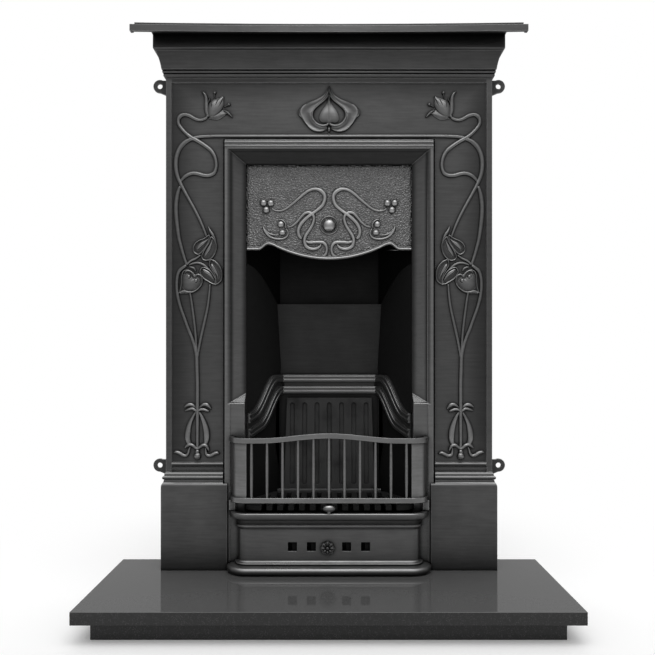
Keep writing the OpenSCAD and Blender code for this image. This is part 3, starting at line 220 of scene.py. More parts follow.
# the spade on the frieze: its left wing, and the heart on the centre line
SPADE_PARTS = {
    "wing": [
        (0, 1192, 2, 3), (-2, 1180, 3.7, 4.2), (-11, 1165, 5.4, 4.6), (-27, 1152, 8.4, 4.6),
        (-44, 1142, 12.4, 4.4), (-57, 1129, 16.3, 4.2), (-54, 1115, 13.3, 4), (-48, 1102, 9.9, 3.8),
        (-35, 1091, 8.4, 3.6), (-19, 1086, 6.4, 3.4), (-6, 1089, 4, 2.8)],
    "wing_rim": [
        (0, 1171, 1.7, 4), (-12, 1157, 2.5, 5), (-30, 1143, 2.7, 5.2), (-40, 1130, 3, 5.2),
        (-42, 1117, 3.2, 5.4), (-36, 1104, 3.5, 5.8), (-25, 1096, 3.5, 6), (-12, 1094, 3.5, 6),
        (0, 1099, 3, 5.6)],
    "wing_edge": [
        (-71, 1136, 1.5, 3.6), (-74, 1128, 2, 4), (-72, 1119, 2, 3.6), (-64, 1114, 1.7, 3),
        (-57, 1102, 2, 3.2), (-49, 1091, 2.2, 3.4), (-37, 1083, 2.2, 3.6), (-22, 1081, 2.2, 3.4),
        (-8, 1085, 1.7, 3)],
    "heart": [
        (0, 1168), (-4, 1153), (-10, 1142), (-18, 1131), (-23, 1119), (-23, 1109), (-16, 1103),
        (-7, 1103), (0, 1099), (7, 1103), (17, 1103), (23, 1109), (23, 1119), (18, 1131), (10, 1142),
        (4, 1153)],
    "heart_ridge": [
        (0, 1170, 1.2, 3), (0, 1156, 2.5, 5), (0, 1141, 4.4, 5.6), (0, 1126, 6.4, 6),
        (0, 1113, 5.4, 5), (0, 1104, 3, 3)],
}
HEART_H = 5.4
# the two beads below the heart: (x, z, half width, half height, how far out)
SPADE_BEADS = [(0, 1085, 3.6, 6.5, 5), (0, 1072, 3.4, 3.4, 5.4)]
# the canopy, left half
CANOPY_STEMS = {
    "whip": [
        (-146, 898, 1.5, 1.6), (-136, 892, 2, 2), (-122, 891, 2.3, 2.2), (-109, 896, 2.5, 2.4),
        (-93, 908, 2.8, 2.6), (-78, 921, 3, 2.8), (-63, 934, 3.3, 3), (-49, 943, 3.5, 3.2),
        (-34, 946, 3.8, 3.4), (-21, 942, 4.3, 3.6), (-12, 932, 4.5, 3.6), (-11, 920, 4.5, 3.6),
        (-17, 905, 4, 3.6), (-30, 893, 3.5, 3.6), (-44, 883, 3.5, 4.2), (-58, 872, 3.8, 3.6),
        (-70, 859, 4, 3.6), (-77, 844, 4.3, 3.6), (-76, 830, 4, 3.4), (-68, 819, 3, 3)],
    "whip_inner": [
        (-106, 849, 1.5, 1.6), (-93, 853, 2.3, 2.2), (-82, 862, 2.8, 2.6), (-72, 874, 3, 2.8),
        (-62, 884, 3.3, 3), (-51, 887, 3.5, 3.2), (-41, 881, 3.5, 3.6), (-38, 871, 3.5, 3.4),
        (-42, 856, 3.5, 3.4), (-51, 841, 3.5, 3.4), (-59, 828, 3.8, 3.6), (-62, 815, 4, 3.8),
        (-58, 803, 4, 3.6), (-48, 796, 3.8, 3.4), (-36, 795, 3.5, 3.2), (-25, 800, 3, 2.8),
        (-19, 808, 1.8, 2)],
    "whip_foot": [
        (-61, 815, 2.3, 2.4), (-49, 811, 3.3, 3), (-36, 812, 3.5, 3.2), (-20, 812, 3.8, 3.4),
        (-13, 810, 3.5, 3.4), (-7.5, 803, 3.5, 3.4), (-6, 792, 3.3, 3.2), (-10, 781, 3.1, 3),
        (-22, 772, 2.4, 2.4)],
    "canopy_bud_leaf": [
        (-166, 853, 0.8, 2), (-163, 843, 3, 3.4), (-157, 834, 3, 3.4), (-150, 827, 2.6, 3),
        (-140, 822, 2.4, 2.8), (-128, 820, 2.4, 2.8), (-116, 821, 2.3, 2.8), (-108, 825, 2.2, 2.8),
        (-103, 833, 2.1, 2.8), (-104, 840, 2, 2.6), (-109, 847, 1.4, 2.2)],
    "canopy_bud_fold": [
        (-161, 846, 0.8, 1.4), (-155, 837, 2, 2), (-146, 832, 2.2, 2.2), (-134, 830, 1.6, 2),
        (-125, 831, 1, 1.6)],
    "canopy_bud_arch": [
        (-129, 866, 0.8, 1.6), (-122, 869, 1.6, 2.4), (-115, 866, 1.8, 2.6), (-110, 860, 1.8, 2.6),
        (-109, 852, 1.8, 2.4), (-112, 846, 1, 1.8)],
}
# its berries and buds: (x, z, half width, half height, how far out)
CANOPY_KNOBS = [
    (-121.4, 857, 9, 8.8, 4.4), (-117.8, 836, 9, 7.4, 4), (-165, 911, 9.2, 9.2, 6),
    (-146.6, 910.4, 9.2, 9.2, 6), (-158.2, 893, 9.2, 9.2, 6)]

# ---- the castings' own sizes that the relief follows, in mm ----

FIELD_D = 85.0                  # the panel's sunk field, in front of the wall
FIELD_HALF, FIELD_FOOT, FIELD_TOP = 387.0, 262.0, 1208.0    # half width, foot and top of that field
RAIL_Z, RAIL_HALF = 1069.0, 300.0       # the rail between the jambs' stems, over the opening
OPENING_HALF = 208.0
CANOPY_D, CANOPY_TOP = 52.0, 1005.0     # the canopy's face and its top
CANOPY_LIP, CANOPY_RISE = 9.0, 4.0      # the raised edge along its foot: how wide and how far out
BOSS_Z, BOSS_R, BOSS_H, BOSS_RING = 854.5, 16.5, 12.0, 22.4     # the canopy's boss and the ring round it
LIP_BACK, RING_D = 86.5, 60.0   # depths where the splay starts behind the lip and where it ends
ROSETTE_X, ROSETTE_Z, ROSETTE_R, ROSETTE_T = -3.6, 62.0, 16.5, 6.0
BACK_HALF, BACK_D, CHEEK_RUN = 131.0, -90.0, 142.0
CHEEK_LENGTH = math.hypot(OPENING_HALF - BACK_HALF, CHEEK_RUN)
RIM_HIGH, RIM_FALL, RIM_WIDTH, RIM_OUT, ROLL_WIDTH = 475.0, 100.0, 50.0, 9.0, 19.0
STEM_BOLD, WHIP_BOLD = 1.2, 1.3         # width of the jambs' and the canopy's stems against their tables
SINK = 0.8                      # how far a relief piece is let into the face that it stands on
STEP = 2.2                      # distance between the points of an outline


# ---- colour and shader helpers ----

def linear(code):
    """The linear colour of an sRGB hex code, with full alpha."""
    parts = [int(code[i:i + 2], 16) / 255 for i in (1, 3, 5)]
    return tuple(p / 12.92 if p <= 0.04045 else ((p + 0.055) / 1.055) ** 2.4 for p in parts) + (1.0,)


def add(tree, kind, inputs=(), **settings):
    """Adds a shader node with its settings and links.

    Inputs are listed for the sockets in use, from the top, or keyed by the socket's name. Each is a value,
    a socket, or another node, which gives its first output in use.
    """
    made = tree.nodes.new("ShaderNode" + kind)
    for key, value in settings.items():
        setattr(made, key, value)
    if not isinstance(inputs, dict):
        inputs = dict(zip([k for k, socket in enumerate(made.inputs) if socket.enabled], inputs))
    for key, value in inputs.items():
        if isinstance(value, bpy.types.Node):
            value = next(socket for socket in value.outputs if socket.enabled)
        if isinstance(value, bpy.types.NodeSocket):
            tree.links.new(value, made.inputs[key])
        else:
            made.inputs[key].default_value = value
    return made


def new_material(name):
    """An empty node material, its node tree, and the place of a point on the piece."""
    material = bpy.data.materials.new(name)
    material.use_nodes = True
    tree = material.node_tree
    tree.nodes.clear()
    return material, tree, add(tree, "TexCoord").outputs["Object"]


def blackened_iron(name, body, thick, rubbed_and_lit, rough, metallic, grain_mm, grain_depth, wear_and_highlight=1.0, proud=None,
                   shade_field_border=False, down_shade=0.0, shaded_steps=()):
    """Grey cast iron blackened with graphite polish.

    The eye sees a near black metal with a dull silky sheen, faint cloudy streaks left by the brush, the
    fine grain of the sand mould, and polish lying thick and dark in the hollows, darkened further there as
    painted shade. Edges are worn back to a greyer, smoother metal and carry a painted highlight, as do faces
    that look up. What stands proud of a plane is polished brighter: proud gives the plane, the two heights
    in mm between which that grows, the height above the hearth below which it holds, the colour and its
    share. Painted shade darkens the colour within 70 mm of a tall wall, and where the settings ask: towards
    the border of the panel's sunk field, on faces that look down by the amount given, and along each corner
    round the opening that is given as a depth and a reach in mm.
    """
    material, tree, place = new_material(name)
    x, y, z = add(tree, "SeparateXYZ", [place]).outputs
    normal = add(tree, "NewGeometry").outputs["Normal"]
    tilt = add(tree, "SeparateXYZ", [normal]).outputs["Z"]
    cloud = add(tree, "TexNoise", {"Vector": place, "Scale": 1 / 0.07, "Detail": 4.0, "Roughness": 0.6})
    # brush marks run along x: 60 mm long and about 5 mm apart
    brushed = add(tree, "Mapping", {"Vector": place, "Scale": (1 / 0.06, 1 / 0.02, 1 / 0.005)})
    streak = add(tree, "TexNoise", {"Vector": brushed, "Scale": 1.0, "Detail": 2.0})
    mixed = add(tree, "Math", [cloud, streak], operation="ADD")
    patch = add(tree, "MapRange", [mixed, 0.75, 1.25])
    # hollows within 9 mm keep the polish, and are darkened further as painted shade
    hollow = add(tree, "AmbientOcclusion", {"Distance": 0.009}, samples=6)
    depth = add(tree, "MapRange", [hollow.outputs["AO"], 0.45, 0.98])
    # edges, where the rounded normal turns away from the face's own, are worn paler and carry a painted highlight
    turned = add(tree, "Bevel", {"Radius": 0.002}, samples=4)
    along = add(tree, "VectorMath", [turned, normal], operation="DOT_PRODUCT")
    edge = add(tree, "MapRange", [along, 0.995, 0.90, 0.0, wear_and_highlight])
    # painted highlight: faces that look up are made paler, as if lit from above
    top_highlight = add(tree, "MapRange", [tilt, 0.25, 0.75, 0.0, 0.75 * wear_and_highlight])
    worn_edges_and_lit_tops = add(tree, "Math", [edge, top_highlight], operation="MAXIMUM")
    worn_and_highlit = add(tree, "Math", [worn_edges_and_lit_tops, depth], operation="MULTIPLY")
    # painted shade: darker within 70 mm of a tall wall, and in the places that the settings name
    wall_shade = add(tree, "AmbientOcclusion", {"Distance": 0.07}, samples=6)
    shares = [add(tree, "MapRange", [wall_shade.outputs["AO"], 0.45, 0.97, 0.8, 0.0])]
    # painted shade on faces that look down, as under a ledge
    if down_shade:
        shares.append(add(tree, "MapRange", [tilt, -0.2, -0.6, 0.0, down_shade]))
    # painted shade in bands along the corners where the splay meets the lip and the ring
    for middle, reach in shaded_steps:
        behind = add(tree, "Math", [y, middle * MM], operation="SUBTRACT")
        gone = add(tree, "Math", [behind], operation="ABSOLUTE")
        shares.append(add(tree, "MapRange", [gone, 0.0, reach * MM, 0.75, 0.0], interpolation_type="SMOOTHSTEP"))
    if shade_field_border:
        # painted shade: darker within 75 mm inside the sides and top of the panel's sunk field, above its foot
        aside = add(tree, "Math", [x], operation="ABSOLUTE")
        across = add(tree, "Math", [aside, FIELD_HALF * MM], operation="SUBTRACT")
        above = add(tree, "Math", [z, (HEARTH_TOP + FIELD_TOP) * MM], operation="SUBTRACT")
        near = add(tree, "Math", [across, above], operation="MAXIMUM")
        inside = add(tree, "MapRange", [near, -0.075, 0.0, 0.0, 0.55], interpolation_type="SMOOTHSTEP")
        outside = add(tree, "MapRange", [near, 0.0, 0.002, 1.0, 0.0])
        foot = HEARTH_TOP + FIELD_FOOT
        above_foot = add(tree, "MapRange", [z, (foot - 1) * MM, (foot + 1) * MM])
        border = add(tree, "Math", [inside, outside], operation="MULTIPLY")
        shares.append(add(tree, "Math", [border, above_foot], operation="MULTIPLY"))
    shade_share = shares[0]
    for share in shares[1:]:
        shade_share = add(tree, "Math", [shade_share, share], operation="MAXIMUM")
    clouded = add(tree, "Mix", [patch, linear(body[0]), linear(body[1])], data_type="RGBA")
    # painted shade: the share darkens the colour towards the thick polish's colour
    tone = add(tree, "Mix", [shade_share, clouded, linear(thick)], data_type="RGBA")
    # the polish in the hollows, and the painted shade there, darken the colour
    dark = add(tree, "Mix", [depth, linear(thick), tone], data_type="RGBA")
    # worn edges and the painted highlights turn the colour paler
    colour = add(tree, "Mix", [worn_and_highlit, dark, linear(rubbed_and_lit)], data_type="RGBA")
    sheen = add(tree, "MapRange", [cloud, 0.3, 0.7, rough + 0.05, rough - 0.05])
    gloss = add(tree, "Math", [worn_and_highlit, -0.10, sheen], operation="MULTIPLY_ADD")
    metal = metallic
    if proud:
        plane, low, full, below, polished, share = proud
        base = float(plane.origin @ plane.out)
        lift = add(tree, "VectorMath", [place, tuple(plane.out)], operation="DOT_PRODUCT")
        high = add(tree, "MapRange", [lift, (base + low) * MM, (base + full) * MM, 0.0, share])
        end = HEARTH_TOP + below
        holds = add(tree, "MapRange", [z, (end + 1) * MM, (end - 1) * MM])
        rub = add(tree, "MapRange", [patch, 0.0, 1.0, 0.8, 1.0])
        both = add(tree, "Math", [high, holds], operation="MULTIPLY")
        bright = add(tree, "Math", [both, rub], operation="MULTIPLY")
        colour = add(tree, "Mix", [bright, colour, linear(polished)], data_type="RGBA")
        gloss = add(tree, "Mix", [bright, gloss, 0.30])
        metal = add(tree, "Mix", [bright, metallic, 1.0])
    grain = add(tree, "TexNoise", {"Vector": place, "Scale": 1000 / grain_mm, "Detail": 2.0})
    bump = add(tree, "Bump", {"Distance": grain_depth * MM, "Height": grain})
    skin = add(tree, "BsdfPrincipled", {"Base Color": colour, "Metallic": metal, "Roughness": gloss,
                                        "Normal": bump})
    add(tree, "OutputMaterial", [skin])
    return material


def polished_granite(name, top, side, flecks, rough, ior):
    """Black granite, sawn and polished, with grey flecks of feldspar 1 to 3 mm across that show close to, and a
    sharp faint reflection of what stands on it. Its top is painted a paler dark grey than its upright faces,
    as painted light from above."""
    material, tree, place = new_material(name)
    crystals = add(tree, "TexVoronoi", {"Vector": place, "Scale": 1 / 0.0028, "Randomness": 1.0})
    grey = add(tree, "MapRange", [crystals, 0.46, 0.16])
    patches = add(tree, "TexNoise", {"Vector": place, "Scale": 1 / 0.008, "Detail": 3.0})
    some = add(tree, "MapRange", [patches, 0.36, 0.60])
    fleck = add(tree, "Math", [grey, some], operation="MULTIPLY")
    face = add(tree, "SeparateXYZ", [add(tree, "NewGeometry").outputs["Normal"]])
    # painted light: faces that look up take the paler top colour, upright faces the darker side colour
    level = add(tree, "MapRange", [face.outputs["Z"], 0.4, 0.9])
    top_lit_ground = add(tree, "Mix", [level, linear(side), linear(top)], data_type="RGBA")
    stone = add(tree, "Mix", [fleck, top_lit_ground, linear(flecks)], data_type="RGBA")
    skin = add(tree, "BsdfPrincipled", {"Base Color": stone, "Roughness": rough, "IOR": ior})
    add(tree, "OutputMaterial", [skin])
    return material


def fired_clay(name, body, soot, rough):
    """Hard grey clay or concrete: dry and matt, with a gritty face, darker in its hollows and paler on its ridges.
    """
    material, tree, place = new_material(name)
    grit = add(tree, "TexNoise", {"Vector": place, "Scale": 1 / 0.003, "Detail": 4.0, "Roughness": 0.7})
    cloud = add(tree, "TexNoise", {"Vector": place, "Scale": 1 / 0.05, "Detail": 3.0})
    # darker where the face is hemmed in within 20 mm, broken up by a cloudy noise
    hollow = add(tree, "AmbientOcclusion", {"Distance": 0.02}, samples=6)
    openness = add(tree, "Math", [hollow.outputs["AO"], cloud], operation="MULTIPLY")
    share = add(tree, "MapRange", [openness, 0.2, 0.5])
    colour = add(tree, "Mix", [share, linear(soot), linear(body)], data_type="RGBA")
    bump = add(tree, "Bump", {"Distance": 0.5 * MM, "Height": grit})
    skin = add(tree, "BsdfPrincipled", {"Base Color": colour, "Roughness": rough, "Normal": bump})
    add(tree, "OutputMaterial", [skin])
    return material


FINISHES = {}       # the mixed materials, by a short name


# ---- mesh helpers: every shell is (points, faces), points in the mm of a face's own plane ----

class Plane:
    """A face that relief stands on: u to the right and v up along it, h out of it, in mm."""

    def __init__(self, origin, along):
        self.origin = np.array(origin, float)
        self.along = np.array(along, float) / np.linalg.norm(along)
        self.up = np.array([0.0, 0.0, 1.0])
        self.out = np.cross(self.along, self.up)

    def place(self, points):
        """Points (u, v, h) in mm to metres in the frame."""
        p = np.asarray(points, float)
        return (self.origin + p[..., 0:1] * self.along + p[..., 1:2] * self.up
                + p[..., 2:3] * self.out) * MM


FIELD = Plane((0, -FIELD_D, HEARTH_TOP), (1, 0, 0))
CANOPY_FACE = Plane((0, -CANOPY_D, HEARTH_TOP), (1, 0, 0))
CHEEK_RIGHT = Plane((BACK_HALF, -BACK_D, HEARTH_TOP), (OPENING_HALF - BACK_HALF, -CHEEK_RUN, 0))
CHEEK_LEFT = Plane((-OPENING_HALF, -BACK_D - CHEEK_RUN, HEARTH_TOP), (OPENING_HALF - BACK_HALF, CHEEK_RUN, 0))
BACK_FACE = Plane((0, -BACK_D, HEARTH_TOP), (1, 0, 0))


def run_along(path):
    """How far along a path each of its points is."""
    return np.concatenate([[0], np.cumsum(np.linalg.norm(np.diff(path[:, :2], axis=0), axis=1))])


def smooth_path(points, step=STEP, closed=False):
    """A Catmull-Rom curve through the points, sampled every step mm or so.

    On each span it is the cubic that leaves and reaches the two points along the line between their
    neighbours. Every column of the table is carried along in the same way.
    """
    p = np.asarray(points, float)
    if closed:
        a = np.vstack([p[-1:], p, p[:2]])
    else:
        a = np.vstack([2 * p[:1] - p[1:2], p, 2 * p[-1:] - p[-2:-1]])
    t = np.linspace(0, 1, 16, endpoint=False)[None, :, None]
    spans = len(a) - 3
    p0, p1, p2, p3 = (a[i:i + spans][:, None, :] for i in range(4))
    fine = 0.5 * (2 * p1 + (p2 - p0) * t + (2 * p0 - 5 * p1 + 4 * p2 - p3) * t ** 2
                  + (3 * p1 - p0 - 3 * p2 + p3) * t ** 3)
    fine = np.vstack([fine.reshape(-1, p.shape[1]), a[-2:-1]])
    run = run_along(fine)
    even = np.linspace(0, run[-1], max(int(run[-1] / step), 4) + 1)
    out = np.stack([np.interp(even, run, column) for column in fine.T], axis=1)
    return out[:-1] if closed else out


def round_section(count=9):
    """Half round: across v from -1 to 1, the height is the root of 1 - v squared."""
    turn = np.linspace(0, math.pi, count)
    return -np.cos(turn), np.sin(turn)


def hollow_section(count=15, rim=0.72, floor=0.42):
    """A hollow petal: it rises from the floor to a rolled rim, which falls to the face in a quarter round."""
    v = -np.cos(np.linspace(0, math.pi, count))
    a = np.abs(v)
    inner = floor + (1 - floor) * (a / rim) ** 2
    outer = np.sqrt(np.clip(1 - ((a - rim) / (1 - rim)) ** 2, 0, 1))
    return v, np.where(a < rim, inner, outer)


def grid_quads(rows, columns, close_rows=False, close_columns=False):
    """The quads of a grid of points that are numbered row after row, closed in either way."""
    i = np.arange(rows if close_rows else rows - 1)[:, None]
    j = np.arange(columns if close_columns else columns - 1)[None, :]
    i2, j2 = (i + 1) % rows, (j + 1) % columns
    corners = [i * columns + j, i2 * columns + j, i2 * columns + j2, i * columns + j2]
    return np.stack(corners, axis=-1).reshape(-1, 4)


def carried(path, section, closed=False, sink=SINK):
    """A section carried along a path on the face: its points go v half widths to the side and h heights
    out. The strip's foot is let into the face, and an open strip's ends are closed by flat caps."""
    path = np.asarray(path, float)
    centre, half, high = path[:, :2], path[:, 2], path[:, 3]
    if closed:
        ahead = np.roll(centre, -1, axis=0) - np.roll(centre, 1, axis=0)
    else:
        ahead = np.gradient(centre, axis=0)
    ahead = ahead / np.maximum(np.linalg.norm(ahead, axis=1, keepdims=True), 1e-9)
    side = np.stack([-ahead[:, 1], ahead[:, 0]], axis=1)
    v, h = section
    v = np.concatenate([v, [1.0, -1.0]])
    rows, ring = len(path), len(v)
    flat = centre[:, None, :] + side[:, None, :] * (half[:, None] * v)[..., None]
    out = np.concatenate([high[:, None] * h, np.full((rows, 2), -sink)], axis=1)
    points = np.concatenate([flat, out[..., None]], axis=2).reshape(-1, 3)
    faces = grid_quads(rows, ring, closed, True).tolist()
    if not closed:
        faces += [list(range(ring)), [(rows - 1) * ring + k for k in range(ring - 1, -1, -1)]]
    return points, faces


def capped(top, rings):
    """A closed cap: a fan from the top to the first ring, quads from ring to ring, and a flat foot."""
    n = len(rings[0])
    faces = (1 + grid_quads(len(rings), n, False, True)).tolist()
    j = np.arange(n)
    faces += np.stack([np.zeros(n, int), 1 + j, 1 + (j + 1) % n], axis=1).tolist()
    faces.append((1 + (len(rings) - 1) * n + j[::-1]).tolist())
    return np.vstack([[top], *rings]), faces


def domed_plate(outline, height, rings=6):
    """A plate inside a closed outline. On a line from its middle to the outline the height falls as
    one minus the square of the distance, from full height to a third of it, and the edge drops to the face."""
    rim = np.asarray(outline, float)[:, :2]
    middle = rim.mean(axis=0)
    ends = np.full((len(rim), 1), 1.0)
    rows = [np.concatenate([middle + r * (rim - middle), height * (0.35 + 0.65 * (1 - r ** 2)) * ends], axis=1)
            for r in np.linspace(0, 1, rings + 1)[1:]]
    rows.append(np.concatenate([rim, -SINK * ends], axis=1))
    points, faces = capped([*middle, height], rows)
    area = np.sum(rim[:, 0] * np.roll(rim[:, 1], -1) - np.roll(rim[:, 0], -1) * rim[:, 1])
    return points, faces if area > 0 else [f[::-1] for f in faces]


def boss(x, z, rx, rz, height, turns=20, rings=6):
    """A round or oval boss: the upper half of an ellipsoid, its foot let into the face."""
    angle = np.linspace(0, 2 * math.pi, turns, endpoint=False)
    rim = np.stack([x + rx * np.cos(angle), z + rz * np.sin(angle)], axis=1)
    middle = np.array([x, z])
    ends = np.full((turns, 1), 1.0)
    rows = [np.concatenate([middle + math.sin(t) * (rim - middle), height * math.cos(t) * ends], axis=1)
            for t in np.linspace(0, math.pi / 2, rings + 1)[1:]]
    rows.append(np.concatenate([rim, -SINK * ends], axis=1))
    return capped([x, z, height], rows)


def stem(points, step=2.0):
    """A half round stem through a table of points, rounded off at both ends."""
    path = smooth_path(points, step)
    run = run_along(path)
    near = np.minimum(run, run[-1] - run) / np.maximum(path[:, 2], 0.1)
    tip = np.sqrt(np.clip(1 - (1 - np.clip(near, 0, 1)) ** 2, 0.02, 1))
    path[:, 2:4] *= np.maximum(tip, 0.15)[:, None]
    return carried(path, round_section())


def roll(line, half, height, closed, count=9, sink=SINK):
    """A half round roll of one size along a line of points."""
    return carried(np.concatenate([line, np.tile((half, height), (len(line), 1))], axis=1),
                   round_section(count), closed, sink)


def sided(outline, side):
    """An outline on the left, as its table has it (1), or mirrored to the right (-1)."""
    return [(side * x, z) for x, z in outline]


def scaled(table, side=1, wide=1.0, bold=1.0, lift=0.0):
    """A table of x, z, half width and height, on its side, with its widths and heights made bolder."""
    return [(side * x, z, wide * w, bold * h + lift) for x, z, w, h in table]


def new_piece(name, shells, plane, finish, body="fireplace", sharp=50):
    """One object from shells that stand on a plane. Its faces are smooth up to the sharp angle."""
    points, faces, first = [], [], 0
    for shell_points, shell_faces in shells:
        points.append(plane.place(shell_points))
        faces += [[first + k for k in face] for face in shell_faces]
        first += len(shell_points)
    mesh = bpy.data.meshes.new(name)
    mesh.from_pydata(np.vstack(points).tolist(), [], faces)
    mesh.validate()
    finished(name, mesh, finish, body, sharp)


def finished(name, mesh, finish, body, sharp):
    """Puts a mesh into the scene as a piece that rides on a body."""
    mesh.materials.clear()
    mesh.materials.append(FINISHES[finish])
    mesh.polygons.foreach_set("use_smooth", np.ones(len(mesh.polygons), bool))
    mesh.set_sharp_from_angle(angle=math.radians(sharp))
    made = bpy.data.objects.new(name, mesh)
    bpy.context.scene.collection.objects.link(made)
    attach(made, body)
    return made


def softened(node, finish, width, body="fireplace", sharp=28):
    """A copy of a casting with its edges rounded, as a sand mould leaves them. It replaces the casting.

    The copy's loose triangles are merged, its flat faces are joined and cut again into well shaped
    triangles, and every edge sharper than 28 degrees is rounded to the width.
    """
    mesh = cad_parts[node].data.copy()
    shape = bmesh.new()
    shape.from_mesh(mesh)
    bmesh.ops.remove_doubles(shape, verts=shape.verts, dist=2e-6)
    bmesh.ops.dissolve_limit(shape, angle_limit=math.radians(0.4), verts=shape.verts, edges=shape.edges)
    bmesh.ops.triangulate(shape, faces=[f for f in shape.faces if len(f.verts) > 4])
    shape.to_mesh(mesh)
    shape.free()
    for extra in ("custom_normal", "sharp_face"):
        if extra in mesh.attributes:
            mesh.attributes.remove(mesh.attributes[extra])
    made = finished(node + "_cast", mesh, finish, body, sharp)
    bevel = made.modifiers.new("soft edges", "BEVEL")
    bevel.width = width
    bevel.segments = 2
    bevel.limit_method = "ANGLE"
    bevel.angle_limit = math.radians(sharp)
    bevel.harden_normals = True
    bevel.use_clamp_overlap = False
    bevel.loop_slide = False
    bevel.miter_outer = "MITER_ARC"
    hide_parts(node)


def paint(finish, *nodes):
    """Gives solids of the frame their finish."""
    for node in nodes:
        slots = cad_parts[node].data.materials
        for k in range(len(slots)):
            slots[k] = FINISHES[finish]
        if not len(slots):
            slots.append(FINISHES[finish])


# ---- sizes and colours that a user may change ----

class FireplaceSizes(bpy.types.PropertyGroup):
    """Sizes of what the castings are dressed with."""
    edge_round: FloatProperty(name="Edge rounding", description="Rounding of the castings' edges",
                              default=0.0009, min=0.0002, max=0.004, unit="LENGTH")
    stone_round: FloatProperty(name="Stone edge", description="Rounding of the stone's polished edges",
                               default=0.0012, min=0.0002, max=0.005, unit="LENGTH")
    relief: FloatProperty(name="Relief", description="How bold the cast flowers stand, as a share",
                          default=1.25, min=0.3, max=2.0, subtype="FACTOR")
    hammer_pitch: FloatProperty(name="Hammer marks", description="Distance between the canopy's hammer marks",
                                default=0.0046, min=0.002, max=0.02, unit="LENGTH")
    hammer_depth: FloatProperty(name="Hammer depth", description="Depth of the canopy's hammer marks",
                                default=0.001, min=0.0, max=0.003, unit="LENGTH")


class FireplaceColours(bpy.types.PropertyGroup):
    """Colours of the floor and light of the studio."""
    floor: FloatVectorProperty(name="Floor", description="Colour of the studio floor", subtype="COLOR",
                               size=4, default=linear("#f8f8f8"), min=0.0, max=1.0)
    backdrop: FloatVectorProperty(name="Backdrop", description="Colour behind the fireplace", subtype="COLOR",
                                  size=4, default=linear("#ffffff"), min=0.0, max=1.0)


def make_finishes():
    """Mixes each finish once."""
    # the thick colour is that of the polish in the hollows and of all painted shade; the paler one after it is that
    # of worn edges and of the painted highlights
    iron = dict(body=("#585858", "#626262"), thick="#0c0c0c", rubbed_and_lit="#a6a6a6", rough=0.36, metallic=0.9,
                grain_mm=2.4, grain_depth=0.10)
    # a paler copy of the iron, as painted light
    paler_lit_iron = dict(iron, rubbed_and_lit="#b8b8b8", rough=0.34)
    # the canopy's iron is paler than the panel's: partly its own hammered finish, partly painted light
    hammer = dict(iron, body=("#6f6f6f", "#7d7d7d"), thick="#101010", rubbed_and_lit="#b8b8b8", rough=0.40, grain_mm=1.4,
                  grain_depth=0.12)
    # inside the firebox the iron is near black: partly soot, partly painted shade
    soot = dict(iron, body=("#141414", "#1a1a1a"), thick="#060606", rubbed_and_lit="#303030", rough=0.66, metallic=0.3,
                grain_mm=3.0, grain_depth=0.25, wear_and_highlight=0.7)
    back = dict(soot, body=("#2e2e2e", "#353535"), rubbed_and_lit="#484848", rough=0.55, metallic=0.5, grain_depth=0.2)
    sheet = dict(body=("#1a1a1a", "#202020"), thick="#0a0a0a", rubbed_and_lit="#3a3a3a", rough=0.5, metallic=0.8,
                 grain_mm=4.0, grain_depth=0.03, wear_and_highlight=0.5)
    steel = dict(sheet, body=("#565656", "#5f5f5f"), thick="#232323", rubbed_and_lit="#8c8c8c", rough=0.35, metallic=1.0,
                 grain_mm=1.2, grain_depth=0.02)
    everywhere = 2000.0
    flower = (FIELD, 1.4, 5.0, everywhere, "#a0a0a0", 0.7)
    whip = (CANOPY_FACE, 1.8, 5.5, everywhere, "#c8c8c8", 0.85)
    rim = (2.5, 6.5, RIM_HIGH + 4, "#848484", 0.95)
    for key, name, settings in (
            ("iron", "graphite polished cast iron", iron),
            ("panel", "graphite polished panel", dict(iron, shade_field_border=True)),
            # painted light: the insert, the bars and the ash cover are the panel's iron with paler bodies and
            # highlights, as if lit more brightly
            ("insert", "insert casting painted brighter", dict(paler_lit_iron, body=("#787878", "#848484"), down_shade=0.6,
                                                       shaded_steps=((-LIP_BACK, 6.5), (-RING_D, 11)))),
            ("bars", "front bars painted brighter", dict(paler_lit_iron, body=("#7c7c7c", "#8a8a8a"))),
            ("cover", "ash cover painted brighter", dict(paler_lit_iron, body=("#6e6e6e", "#7a7a7a"), wear_and_highlight=0.5)),
            ("relief", "polished cast relief", dict(iron, shade_field_border=True, proud=flower)),
            ("canopy", "hammered cast iron", hammer),
            ("whip", "polished canopy relief", dict(hammer, proud=whip)),
            ("soot", "sooty cast iron", soot),
            ("cheek_left", "sooty left cheek", dict(soot, proud=(CHEEK_LEFT, *rim))),
            # painted shade: the right cheek's body is darker than the left's
            ("cheek_right", "sooty right cheek in painted shade", dict(soot, body=("#0c0c0c", "#101010"), proud=(CHEEK_RIGHT, *rim))),
            ("fireback", "sooty fireback", dict(back, proud=(BACK_FACE, *rim))),
            ("sheet", "blackened sheet steel", sheet),
            ("steel", "oiled steel", steel)):
        FINISHES[key] = blackened_iron(name, **settings)
    FINISHES["clay"] = fired_clay("sooty fire brick", "#3a3a3a", "#0c0c0c", 0.85)
    FINISHES["mortar"] = fired_clay("concrete", "#8a8781", "#5b5955", 0.9)
    FINISHES["granite"] = polished_granite("polished black granite", "#5a5a5a", "#323232", "#545454", 0.03, 1.75)


